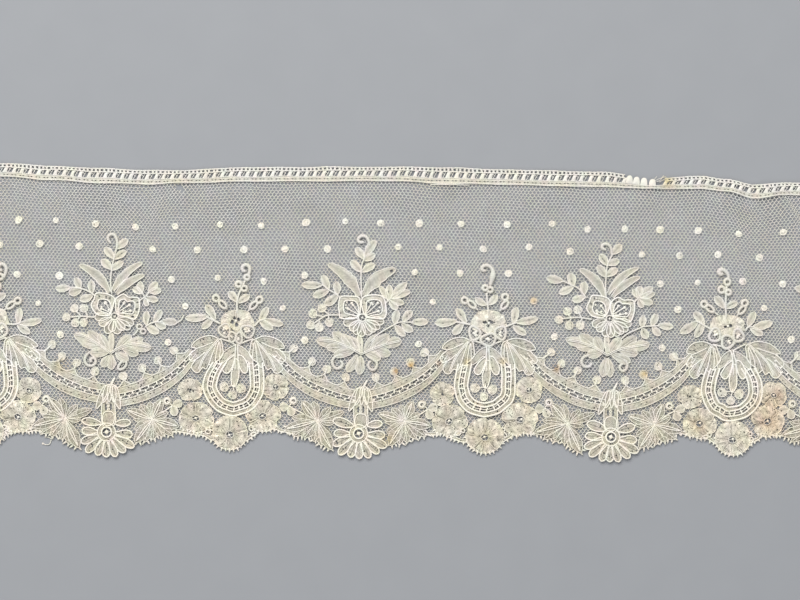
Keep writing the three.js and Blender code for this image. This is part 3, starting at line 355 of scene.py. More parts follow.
def sides(path, closed=False):
    """Unit normals to the left of a flat path."""
    if closed:
        d = np.roll(path, -1, 0) - np.roll(path, 1, 0)
    else:
        d = np.gradient(path, axis=0)
    d = d / (np.linalg.norm(d, axis=1, keepdims=True) + 1e-9)
    return np.stack([-d[:, 1], d[:, 0]], axis=1)


def wander(x, y, seed, size, wave):
    """A smooth seeded displacement field."""
    g = np.random.default_rng(seed)
    out = np.zeros_like(x)
    for _ in range(6):
        a = g.uniform(0, 2 * math.pi)
        k = 2 * math.pi / (wave * g.uniform(0.6, 1.6))
        out = out + np.sin(k * (math.cos(a) * x + math.sin(a) * y) + g.uniform(0, 6.28))
    return out * size / 2.45


# ------------------------------------------------------------------ the chart of what is covered

CELL = 0.5
GRID_U0, GRID_V0 = -100.0, 150.0
cover_map = np.zeros((int(330 / CELL), int(1045 / CELL)), bool)
edge_outlines = []      # outlines along the lower edge, which carry picots


def cover(poly):
    """Marks the squares that lie inside an outline given in lace squares."""
    p = np.asarray(poly, float)
    u, v = p[:, 0] + MID_U, MID_V - p[:, 1]
    i0, i1 = int((u.min() - GRID_U0) / CELL), int((u.max() - GRID_U0) / CELL) + 1
    j0, j1 = int((v.min() - GRID_V0) / CELL), int((v.max() - GRID_V0) / CELL) + 1
    i0, j0 = max(i0, 0), max(j0, 0)
    i1, j1 = min(i1, cover_map.shape[1] - 1), min(j1, cover_map.shape[0] - 1)
    if i1 <= i0 or j1 <= j0:
        return
    x = GRID_U0 + (np.arange(i0, i1) + 0.5) * CELL
    y = GRID_V0 + (np.arange(j0, j1) + 0.5) * CELL
    X, Y = np.meshgrid(x, y)
    inside = np.zeros(X.shape, bool)
    for a in range(len(u)):
        b = a - 1
        cross = (v[a] > Y) != (v[b] > Y)
        dv = v[b] - v[a]
        if abs(dv) < 1e-9:
            continue
        inside ^= cross & (X < (u[b] - u[a]) * (Y - v[a]) / dv + u[a])
    cover_map[j0:j1, i0:i1] |= inside


def covered(xy, grid=None):
    grid = cover_map if grid is None else grid
    i = np.clip(((xy[:, 0] + MID_U - GRID_U0) / CELL).astype(int), 0, grid.shape[1] - 1)
    j = np.clip(((MID_V - xy[:, 1] - GRID_V0) / CELL).astype(int), 0, grid.shape[0] - 1)
    return grid[j, i]


# ------------------------------------------------------------------ meshes

class Bag:
    """The points and faces of one piece, in squares, with a tint and a thread direction at each point."""

    def __init__(self):
        self.v, self.tint, self.thread = [], [], []
        self.quads, self.tris, self.mq, self.mt = [], [], [], []
        self.n = 0

    def add(self, v, quads=None, tris=None, mat=FILL, tint=1.0, thread=None, pores=0.045, rough=0.19):
        v = np.asarray(v, float)
        k = len(v)
        tint = np.broadcast_to(np.asarray(tint, float), (k,))
        if mat in (FILL, BLOOM):           # hand-worked cloth: uneven thread, with a pin hole here and there
            tint = tint * np.clip(grain.normal(1.0, rough, k), 0.5, 1.42)
            if quads is not None and len(quads) and pores:
                quads = np.asarray(quads, int)
                quads = quads[grain.random(len(quads)) > pores]
        self.v.append(v)
        self.tint.append(tint)
        self.thread.append(np.zeros((k, 2)) if thread is None else np.asarray(thread, float))
        if quads is not None and len(quads):
            self.quads.append(np.asarray(quads, int) + self.n)
            self.mq.append(np.full(len(quads), mat))
        if tris is not None and len(tris):
            self.tris.append(np.asarray(tris, int) + self.n)
            self.mt.append(np.full(len(tris), mat))
        self.n += k


def tube(bag, path, r, z=Z_CORD, n=4, closed=False, mat=CORD, tint=1.0, flat=0.85, cap=True, knot=0.0, pitch=2.4):
    """A cord along a path: flat path with one height, or a path with its own heights."""
    p = np.asarray(path, float)
    if p.shape[1] == 2:
        p = np.column_stack([p, np.broadcast_to(np.asarray(z, float), (len(p),))])
    m = len(p)
    if closed:
        t = np.roll(p, -1, 0) - np.roll(p, 1, 0)
        far = np.concatenate([[0], np.cumsum(np.linalg.norm(np.diff(p, axis=0), axis=1))])
    else:
        t = np.gradient(p, axis=0)
        far = np.concatenate([[0], np.cumsum(np.linalg.norm(np.diff(p, axis=0), axis=1))])
    t = t / (np.linalg.norm(t, axis=1, keepdims=True) + 1e-9)
    s = np.cross(t, [0, 0, 1.0])
    ln = np.linalg.norm(s, axis=1, keepdims=True)
    s = np.where(ln > 1e-6, s / np.maximum(ln, 1e-6), [1.0, 0, 0])
    b = np.cross(s, t)
    r = np.broadcast_to(np.asarray(r, float), (m,)).copy()
    if knot:
        r *= 1 + knot * np.sin(far * 2 * math.pi / pitch)
    a = -math.pi / 2 + (np.arange(n) + (0.5 if n == 4 else 0)) * 2 * math.pi / n
    ring = p[:, None] + r[:, None, None] * (np.cos(a)[None, :, None] * s[:, None] + flat * np.sin(a)[None, :, None] * b[:, None])
    v = ring.reshape(-1, 3)
    thread = np.column_stack([np.repeat(far, n), np.tile(np.arange(n) / n, m)])
    rows = m if closed else m - 1
    i = np.arange(rows)[:, None]
    j = np.arange(n)[None]
    i2, j2 = (i + 1) % m, (j + 1) % n
    quads = np.stack([i * n + j, i2 * n + j, i2 * n + j2, i * n + j2], axis=-1).reshape(-1, 4)
    tris = None
    if cap and not closed:
        ends = np.array([p[0] - t[0] * r[0] * 0.6, p[-1] + t[-1] * r[-1] * 0.6])
        v = np.vstack([v, ends])
        thread = np.vstack([thread, [[0, 0], [far[-1], 0]]])
        j = np.arange(n)
        tris = np.vstack([
            np.column_stack([np.full(n, m * n), j, (j + 1) % n]),
            np.column_stack([np.full(n, m * n + 1), (m - 1) * n + (j + 1) % n, (m - 1) * n + j]),
        ])
    tint = np.broadcast_to(np.asarray(tint, float), (len(v),)) if np.ndim(tint) == 0 else tint
    bag.add(v, quads, tris, mat, tint, thread)


def grid_faces(rows, cols, keep=None, flip=False):
    """Faces of a grid of rows by cols points, keep being a mask of its squares."""
    i, j = np.meshgrid(np.arange(rows - 1), np.arange(cols - 1), indexing="ij")
    if keep is not None:
        i, j = i[keep], j[keep]
    i, j = i.ravel(), j.ravel()
    q = np.stack([i * cols + j, (i + 1) * cols + j, (i + 1) * cols + j + 1, i * cols + j + 1], axis=1)
    return q[:, ::-1] if flip else q


def profile(kind, s):
    """Half width along a leaf, as a share of its widest."""
    s = np.asarray(s, float)
    if kind == "blade":
        up = np.clip(s / 0.42, 0, 1)
        up = 0.42 + 0.58 * up * up * (3 - 2 * up)
        down = 1 - 0.52 * np.clip((s - 0.45) / 0.5, 0, 1) ** 1.3
        return up * down * np.sqrt(np.clip(1 - (np.clip(s - 0.93, 0, 1) / 0.07) ** 2, 0, 1))
    if kind == "petal":
        up = np.clip(s / 0.60, 0, 1)
        up = 0.30 + 0.70 * up * up * (3 - 2 * up)
        return up * np.sqrt(np.clip(1 - (np.clip(s - 0.62, 0, 1) / 0.38) ** 2.2, 0, 1))
    if kind == "lobe":
        return np.clip(np.sin(math.pi * s**0.82), 0, 1) ** 0.62 * (1 - 0.12 * s) + 0.10 * (1 - s)
    if kind == "frond":
        up = np.clip(s / 0.58, 0, 1)
        up = 0.24 + 0.76 * up * up * (3 - 2 * up)
        return up * np.clip(1 - np.clip((s - 0.58) / 0.42, 0, 1) ** 1.9, 0, 1) ** 0.8
    return np.clip(np.sin(math.pi * s**1.33), 0, 1) ** 0.54 + 0.10 * (1 - s)


def leaf(bag, base, tip, width, bend=0.0, kind="leaf", z=Z_FILL, dome=0.55, rim=0.70, tint=1.0, rib=0, mat=FILL):
    """A petal or lobe: a domed fill in two halves and a corded rim."""
    base, tip = np.asarray(base, float), np.asarray(tip, float)
    ax = tip - base
    L = float(np.hypot(*ax))
    nrm = np.array([-ax[1], ax[0]]) / L
    mid = (base + tip) / 2 + nrm * bend * 2
    ns = max(7, int(round(L / 1.3)))
    s = np.linspace(0, 1, ns + 1)
    c = ((1 - s) ** 2)[:, None] * base + (2 * s * (1 - s))[:, None] * mid + (s**2)[:, None] * tip
    nn = sides(c)
    half = np.maximum(width / 2 * profile(kind, s), 0.2)
    t = np.array([0.04, 0.34, 0.68, 0.97])
    lift = dome * min(1.0, width / 9.0)
    thread_s = s * L
    for sign in (1, -1):
        w = half[:, None] * t[None]
        xy = c[:, None] + sign * nn[:, None] * w[..., None]
        hump = lift * (1 - t**2)[None] * np.clip(half / (width / 2), 0, 1)[:, None]
        hump = hump - 0.55 * lift * np.exp(-((t / 0.22) ** 2))[None]
        zz = z + hump + np.zeros_like(w)
        v = np.dstack([xy, zz]).reshape(-1, 3)
        q = grid_faces(ns + 1, len(t), flip=sign < 0)
        th = np.column_stack([np.repeat(thread_s, len(t)), (sign * w).ravel()])
        # painted shade: the tint is darkened by up to a tenth along the middle line, where the fill dips into its
        # groove
        bag.add(v, q, None, mat, tint * (1 - 0.10 * np.tile(np.exp(-((t / 0.25) ** 2)), ns + 1)), th)
    left = c + nn * half[:, None]
    right = c - nn * half[:, None]
    outline = np.vstack([left, right[-2:0:-1]])
    cover(outline)
    if rim:
        path = even(np.vstack([outline, outline[:1]]), 1.5, True)
        tube(bag, path, rim, z + 0.40, closed=True, tint=1.0, knot=0.10, pitch=2.7)
    if rib:
        cc = even(np.column_stack([c, z + lift + 0.15 + 0 * s])[: int(0.94 * ns) + 1], 1.5)
        tube(bag, cc, 0.42, tint=1.0)


def pad(bag, base, tip, width, bend=0.0, kind="leaf", z=Z_FILL, tint=1.32, mat=FILL, groove=0.74, edge=0.98, holes=0.0, vein=0.0, rim=0.0, gap=None, slits=0.07):
    """A leaf of close cloth stitch: thick soft edges, a groove along its middle, a slit here and there."""
    base, tip = np.asarray(base, float), np.asarray(tip, float)
    ax = tip - base
    L = float(np.hypot(*ax))
    nrm = np.array([-ax[1], ax[0]]) / L
    mid = (base + tip) / 2 + nrm * bend * 2
    ns = max(7, int(round(L / 1.45)))
    s = np.linspace(0, 1, ns + 1)
    c = ((1 - s) ** 2)[:, None] * base + (2 * s * (1 - s))[:, None] * mid + (s**2)[:, None] * tip
    nn = sides(c)
    half = np.maximum(width / 2 * profile(kind, s), 0.3)
    t = np.array([-1.0, -0.84, -0.56, -0.24, 0.0, 0.24, 0.56, 0.84, 1.0])
    high = np.array([0.0, 0.78, 1.0, 0.74, 0.12, 0.74, 1.0, 0.78, 0.0])
    # painted shade: the tint across the leaf is darkest in the middle groove (groove) and on the low outer rim (edge),
    # and lighter on the thick rolls between; near the base and tip the darks are lifted to 0.96
    light = np.array([edge, 1.15, 1.03, 0.92, groove, 0.92, 1.03, 1.15, edge])
    uneven = np.column_stack([1 + rng.normal(0, 0.06, ns + 1), 1 + rng.normal(0, 0.06, ns + 1)])
    w = half[:, None] * t[None] * np.where(t < 0, uneven[:, :1], uneven[:, 1:])
    xy = c[:, None] + nn[:, None] * w[..., None]
    lift = 0.85 * min(1.0, width / 8.0)
    zz = z + lift * high[None] * np.clip(half / (width / 2), 0.35, 1)[:, None] + rng.normal(0, 0.05, w.shape)
    run = ((s > 0.10) & (s < 0.86))[:, None]
    shade = np.where(run, light[None], np.maximum(light, 0.96)[None]) * rng.uniform(0.97, 1.04)
    keep = np.ones((ns, 8), bool)
    for i in range(ns):
        if 0.16 < s[i] < 0.80 and rng.random() < slits:
            keep[i, 3 + int(rng.integers(2))] = False
        if holes and 0.08 < s[i] < 0.95:
            for j in (1, 6):
                if rng.random() < holes:
                    keep[i, j] = False
    if gap is not None:
        mid = (xy[:-1, :-1] + xy[1:, 1:]) / 2
        keep &= np.linalg.norm(mid - gap[0], axis=-1) > gap[1]
    th = np.column_stack([np.repeat(s * L, 9), w.ravel()])
    bag.add(np.dstack([xy, zz]).reshape(-1, 3), grid_faces(ns + 1, 9, keep), None, mat, (tint * shade).ravel(), th, 0.0, 0.10)
    cover(np.vstack([xy[:, 0], xy[::-1, -1]]))
    if rim:
        for j in (0, 8):
            tube(bag, even(xy[:, j], 1.5), rim, z + 0.45, tint=0.97, knot=0.2, pitch=3.1)
    if vein:
        cc = np.column_stack([c, z + lift * 0.75 + 0 * s])[: int(0.86 * ns) + 1]
        tube(bag, even(cc, 1.6), vein, tint=0.96)


def cord(bag, P, rows, z=Z_CORD, tint=0.76, n=6):
    """A thick cord of uneven width through charted points."""
    p = np.array([[*P(x, y, 0.12), r * 1.2] for x, y, r in rows])
    q = spline(p, 1.15)
    tube(bag, q[:, :2], q[:, 2], z, n=n, tint=tint, flat=0.75, knot=0.13, pitch=2.4)


def ring(bag, centre, rx, ry=None, r=0.6, z=Z_CORD, tint=1.0, turn=0.0, knot=0.08, n=4):
    ry = rx if ry is None else ry
    m = max(9, int(2 * math.pi * max(rx, ry) / 1.25))
    a = np.arange(m) * 2 * math.pi / m
    x, y = rx * np.cos(a), ry * np.sin(a)
    p = np.column_stack([x * math.cos(turn) - y * math.sin(turn), x * math.sin(turn) + y * math.cos(turn)]) + centre
    tube(bag, p, r, z, closed=True, tint=tint, knot=knot, n=n)
    return p


def disc(bag, centre, rad, hole=0.0, z=Z_FILL, dome=1.0, na=40, nr=6, tint=1.0, mat=FILL, rough=0.0):
    """A round fill whose radius depends on the angle, with a round hole at its middle."""
    a = np.arange(na) * 2 * math.pi / na
    R = rad(a) if callable(rad) else np.full(na, float(rad))
    k = np.linspace(0, 1, nr + 1)
    rr = hole + (R[:, None] - hole) * k[None]
    x = centre[0] + rr * np.cos(a)[:, None]
    y = centre[1] + rr * np.sin(a)[:, None]
    zz = z + dome * (1 - k**2)[None] ** 0.8 + 0 * rr
    if hole:
        zz = zz - 0.6 * dome * np.exp(-((rr - hole) / 1.4) ** 2)
    if rough:
        zz = zz + rng.normal(0, rough, zz.shape) * (k < 0.98)[None]
    v = np.stack([x, y, zz], axis=-1).reshape(-1, 3)
    cols = nr + 1
    i, j = np.meshgrid(np.arange(na), np.arange(nr), indexing="ij")
    i, j = i.ravel(), j.ravel()
    i2 = (i + 1) % na
    q = np.stack([i * cols + j, i * cols + j + 1, i2 * cols + j + 1, i2 * cols + j], axis=1)
    bag.add(v, q, None, mat, tint, np.column_stack([x.ravel(), y.ravel()]))
    out = np.column_stack([x[:, -1], y[:, -1]])
    cover(out)
    return out


def berry(bag, c, r, tint=1.37, z=Z_FILL):
    """A small flat pad of cloth stitch."""
    c = np.asarray(c, float)
    p1, p2 = rng.uniform(0, 6.28, 2)

    def rad(a):
        return r * (1 + 0.05 * np.cos(2 * a + p1) + 0.04 * np.cos(3 * a + p2))
    o = disc(bag, c, rad, z=z + 0.1, dome=0.55, na=20, nr=4, tint=tint, rough=0.12)
    tube(bag, c + (o - c) * 0.95, 0.48, z + 0.25, closed=True, tint=0.93, knot=0.15, pitch=2.0)


def stem(bag, rows, r=0.72, place=None, z=Z_CORD, tint=1.03):
    p = place.path(rows, 0.15) if place else np.asarray(rows, float)
    p = spline(p, 1.4) if len(p) > 2 else even(p, 1.4)
    tube(bag, p, r, z, tint=tint, knot=0.12, pitch=2.6)


def band(bag, path, low, high, z=Z_FILL, hump=0.35, tint=1.0, rows=3, mat=FILL):
    """Cloth between two lines beside a path; low and high are distances to its left."""
    nn = sides(path)
    low, high = np.broadcast_to(low, len(path)), np.broadcast_to(high, len(path))
    k = np.linspace(0, 1, rows + 1)
    off = low[:, None] + (high - low)[:, None] * k[None]
    xy = path[:, None] + nn[:, None] * off[..., None]
    zz = z + hump * np.sin(math.pi * k)[None] + 0 * off
    v = np.dstack([xy, zz]).reshape(-1, 3)
    far = np.concatenate([[0], np.cumsum(np.linalg.norm(np.diff(path, axis=0), axis=1))])
    q = grid_faces(len(path), rows + 1)
    bag.add(v, q, None, mat, tint, np.column_stack([np.repeat(far, rows + 1), off.ravel()]))
    cover(np.vstack([xy[:, 0], xy[::-1, -1]]))
    return xy[:, 0], xy[:, -1]


def bead_in_ring(bag, c, r, tint=1.0, spokes=2, bead=0.36):
    """Fine bars crossing an open ring, with a bead on the crossing."""
    a0 = rng.uniform(0, 3.14)
    for k in range(spokes):
        a = a0 + k * math.pi / spokes
        d = np.array([math.cos(a), math.sin(a)]) * r
        tube(bag, np.array([c - d, c, c + d]), 0.3, Z_CORD - 0.5, n=4, tint=tint, cap=False)
    disc(bag, c, max(1.0, r * bead), z=Z_CORD - 0.6, dome=1.2, na=10, nr=3, tint=1.05 * tint, mat=CORD)


def smooth_poly(place, rows, loose=0.2, step=1.3):
    return spline(place.path(rows, loose), step, closed=True)


def patch(bag, outline, z=Z_FILL, dome=0.5, tint=1.0, mat=FILL, centre=None, nr=4, hole=0.0, keep=None):
    """A fill over a closed outline, drawn from its middle."""
    o = np.asarray(outline, float)
    c = o.mean(0) if centre is None else np.asarray(centre, float)
    k = np.linspace(hole, 1, nr + 1)
    xy = c[None, None] + (o - c)[:, None] * k[None, :, None]
    zz = z + dome * (1 - k**2)[None] + np.zeros(xy.shape[:2])
    v = np.dstack([xy, zz]).reshape(-1, 3)
    cols, na = nr + 1, len(o)
    area = float(np.sum(o[:, 0] * np.roll(o[:, 1], -1) - o[:, 1] * np.roll(o[:, 0], -1)))
    i, j = np.meshgrid(np.arange(na), np.arange(nr), indexing="ij")
    if keep is not None:
        i, j = i[keep], j[keep]
    i, j = i.ravel(), j.ravel()
    i2 = (i + 1) % na
    q = np.stack([i * cols + j, i * cols + j + 1, i2 * cols + j + 1, i2 * cols + j], axis=1)
    if area < 0:
        q = q[:, ::-1]
    bag.add(v, q, None, mat, tint, xy.reshape(-1, 2))
    if hole == 0:
        cover(o)


def rounded(cx, cy, hx, hy, power=3.6, n=36):
    a = np.arange(n) * 2 * math.pi / n
    c, s = np.cos(a), np.sin(a)
    r = (np.abs(c) ** power + np.abs(s) ** power) ** (-1 / power)
    return [(cx + hx * r[i] * c[i], cy + hy * r[i] * s[i]) for i in range(n)]


# ------------------------------------------------------------------ motifs

def openwork(bag, inner, step=0.42, r=0.26, z=Z_FILL + 0.25):
    """Fine slanting threads both ways inside an outline."""
    c = inner.mean(0)
    hx, hy = np.abs(inner[:, 0] - c[0]).max() * 0.97, np.abs(inner[:, 1] - c[1]).max() * 0.97
    for way in (1, -1):
        for off in np.arange(-1.7, 1.75, step):
            k = np.linspace(-1, 1, 41)
            y = way * k + off
            k = k[np.abs(y) < 1.0]
            if len(k) < 4:
                continue
            a = c + [k[0] * hx, (way * k[0] + off) * hy]
            b = c + [k[-1] * hx, (way * k[-1] + off) * hy]
            tube(bag, np.array([a, (a + b) / 2 + rng.normal(0, 0.15, 2), b]), r, z, n=3, tint=0.96, cap=False)


def sprig(bag, n, row):
    P = Place(*row["sprig"], turn=rng.normal(0, 0.008), loose=0.25)
    chart = SPRIGS[1 if n == 4 else n - 1]
    for rows in chart["stems"]:
        stem(bag, rows, place=P, r=1.08, tint=0.84)
    cord(bag, P, chart["hook"])
    for i, (a, b, c, d, w, bend) in enumerate(chart["leaves"]):
        pad(bag, P(a, b, 0.15), P(c, d), w * rng.uniform(0.80, 0.91) * (0.90 if 10 <= i <= 15 else 1.0), bend * rng.uniform(0.5, 1.3), z=Z_FILL + 0.04 * (i % 4), tint=rng.uniform(1.12, 1.27), rim=0.54)
    for x, y, r in chart["berries"]:
        berry(bag, P(x, y), r)
    for x, y in chart["rings"]:
        ring(bag, P(x, y, 0.2), 2.6, 2.4, 1.35, Z_CORD, 0.80)
    for i, (a, b, c, d, w, bend) in enumerate(chart["blades"]):
        pad(bag, P(a, b, 0.2), P(c, d), w * 1.04, bend, "blade", Z_FILL + 0.12 * i, 1.04, groove=0.90, rim=0.60, slits=0.0,
            gap=(P(29.4, -46.2, 0), 1.7) if chart["pansy"] == 0 and c > 0 else None)
    # pansy: lower petals, upper petals with openwork, eye
    for i, (a, b, w) in enumerate(SPRIG_PETALS[1 if n == 4 else n - 1]):
        tip = P(a, b)
        base = P(a * 0.18, b * 0.18 + 0.5, 0.1)
        shade = (1.0, 0.66, 0.90, 0.74)[i // 2] * rng.uniform(0.94, 1.06)
        leaf(bag, base, tip, w * 0.92, 0, "petal", z=Z_FILL + 0.10 + 0.09 * (i % 2) + 0.12 * (i // 2 % 2), rib=i % 2, rim=0.76, dome=0.35, tint=shade)
    kind = PANSY[chart["pansy"]]
    for outer, inner in ((kind[0], kind[1]), (kind[2], kind[3])):
        outer, inner = smooth_poly(P, outer, 0.3), smooth_poly(P, inner, 0.2)
        m = 44
        o, q = even_loop(outer, m), even_loop(inner, m)
        k_ = np.linspace(0, 1, 4)
        xy = q[:, None] + (o - q)[:, None] * k_[None, :, None]
        zz = Z_FILL + 0.35 + 0.3 * np.sin(math.pi * k_)[None] + np.zeros(xy.shape[:2])
        v = np.dstack([xy, zz]).reshape(-1, 3)
        i_, j_ = np.meshgrid(np.arange(m), np.arange(3), indexing="ij")
        keep = ~((j_ == 1) & (rng.random(i_.shape) < 0.11))
        i_, j_ = i_[keep], j_[keep]
        quad = np.stack([i_ * 4 + j_, i_ * 4 + j_ + 1, ((i_ + 1) % m) * 4 + j_ + 1, ((i_ + 1) % m) * 4 + j_], axis=1)
        turn = np.sum(o[:, 0] * np.roll(o[:, 1], -1) - o[:, 1] * np.roll(o[:, 0], -1))
        bag.add(v, quad if turn > 0 else quad[:, ::-1], None, FILL, 1.08, xy.reshape(-1, 2))
        cover(o)
        tube(bag, outer, 0.98, Z_CORD + 0.55, closed=True, tint=1.0, knot=0.12)
        tube(bag, inner, 0.86, Z_CORD + 0.5, closed=True, tint=1.0, knot=0.12)
        openwork(bag, inner, 0.60, 0.22)
        mid = inner.mean(0)
        for _ in range(4):
            e = mid + (inner[int(rng.integers(len(inner)))] - mid) * rng.uniform(0.3, 0.85)
            disc(bag, e, rng.uniform(0.8, 1.15), z=Z_CORD + 0.1, dome=0.9, na=8, nr=2, tint=1.05, mat=CORD)
    for a, b in kind[4]:
        p0, p1 = P(*a, 0.1), P(*b, 0.3)
        stem(bag, np.array([p0, (p0 + p1) / 2 + rng.normal(0, 0.3, 2), p1]), 0.66, z=Z_CORD + 0.4)
        disc(bag, p1, 1.5, z=Z_CORD + 0.1, dome=1.1, na=9, nr=2, tint=1.0, mat=CORD)
    c = P(0.4, 0.1, 0.2)
    if chart["pansy"] == 0:
        disc(bag, c, 4.3, hole=2.9, z=Z_FILL + 0.7, dome=0.4, na=18, nr=2)
        ring(bag, c, 4.1, 3.7, 0.8, Z_CORD + 0.75, 1.0)
        bead_in_ring(bag, c, 3.2)
    else:
        c = P(0.5, 0.8, 0.2)
        disc(bag, c, 3.9, hole=2.7, z=Z_FILL + 0.7, dome=0.4, na=18, nr=2)
        ring(bag, c, 3.7, 3.5, 0.72, Z_CORD + 0.75, 1.0, rng.uniform(0, 3), 0.18)
        bead_in_ring(bag, c, 2.9)
    # stalk and the two big leaves with their lobes
    foot = chart["veins"][0][0]
    pad(bag, P(-2.8, 16.5, 0.1), P(foot[0], foot[1] + 1.5, 0.2), 6.4, 0, "lobe", z=Z_FILL + 0.2, groove=0.85)
    for i, (a, b, c, d, w) in enumerate(chart["lobes"]):
        # edge=0.72 and groove=0.76 paint shade on each lobe's rim and middle groove, where the lobes meet
        pad(bag, P(a, b, 0.15), P(c, d), w * 0.95, 0.5 * (-1) ** i, "leaf", Z_FILL + 0.14 * (i % 3), rng.uniform(1.0, 1.16), groove=0.76, edge=0.72, vein=0.42, rim=0.44)
    for rows in chart["veins"]:
        q = spline(P.path(rows, 0.15), 1.5)
        nq = sides(q)
        for off in (-0.7, 0.7):
            tube(bag, q + nq * off, 0.60, Z_CORD + 0.85, tint=1.0, knot=0.1)
    # hanging bud and curls under the leaves
    for a, b, c, d, w in chart["buds"]:
        pad(bag, P(a, b, 0.15), P(c, d), w, 0.5, tint=1.14, vein=0.4, rim=0.42)
    for rows in chart["curls"]:
        cord(bag, P, rows)


def even_loop(p, m):
    """A closed line as m even steps, from its first point."""
    q = np.vstack([p, p[:1]])
    far = np.concatenate([[0], np.cumsum(np.linalg.norm(np.diff(q, axis=0), axis=1))])
    s = np.linspace(0, far[-1], m + 1)[:-1]
    return np.column_stack([np.interp(s, far, q[:, k]) for k in (0, 1)])


HORSESHOE_IN = [(5, 3), (9.5, 2.2), (3.4, 1.2), (5, 7.6)]  # per medallion: how far the left and the right leg turn in at the top


def horseshoe_path(P, r, wob, turn_in, legs=22.0):
    a = np.linspace(math.pi, 0, 25)          # down round the bottom, from the left leg to the right
    arc = [(r * math.cos(t), r * math.sin(t)) for t in a]
    left, right = turn_in
    rows = [(-r + left, -legs), (-r + left * 0.28, -legs * 0.5)] + arc[::2] + [(r - right * 0.28, -legs * 0.5), (r - right, -legs)]
    return spline(np.array([P(x, y, 0.08) for x, y in rows]) + wob, 1.3)


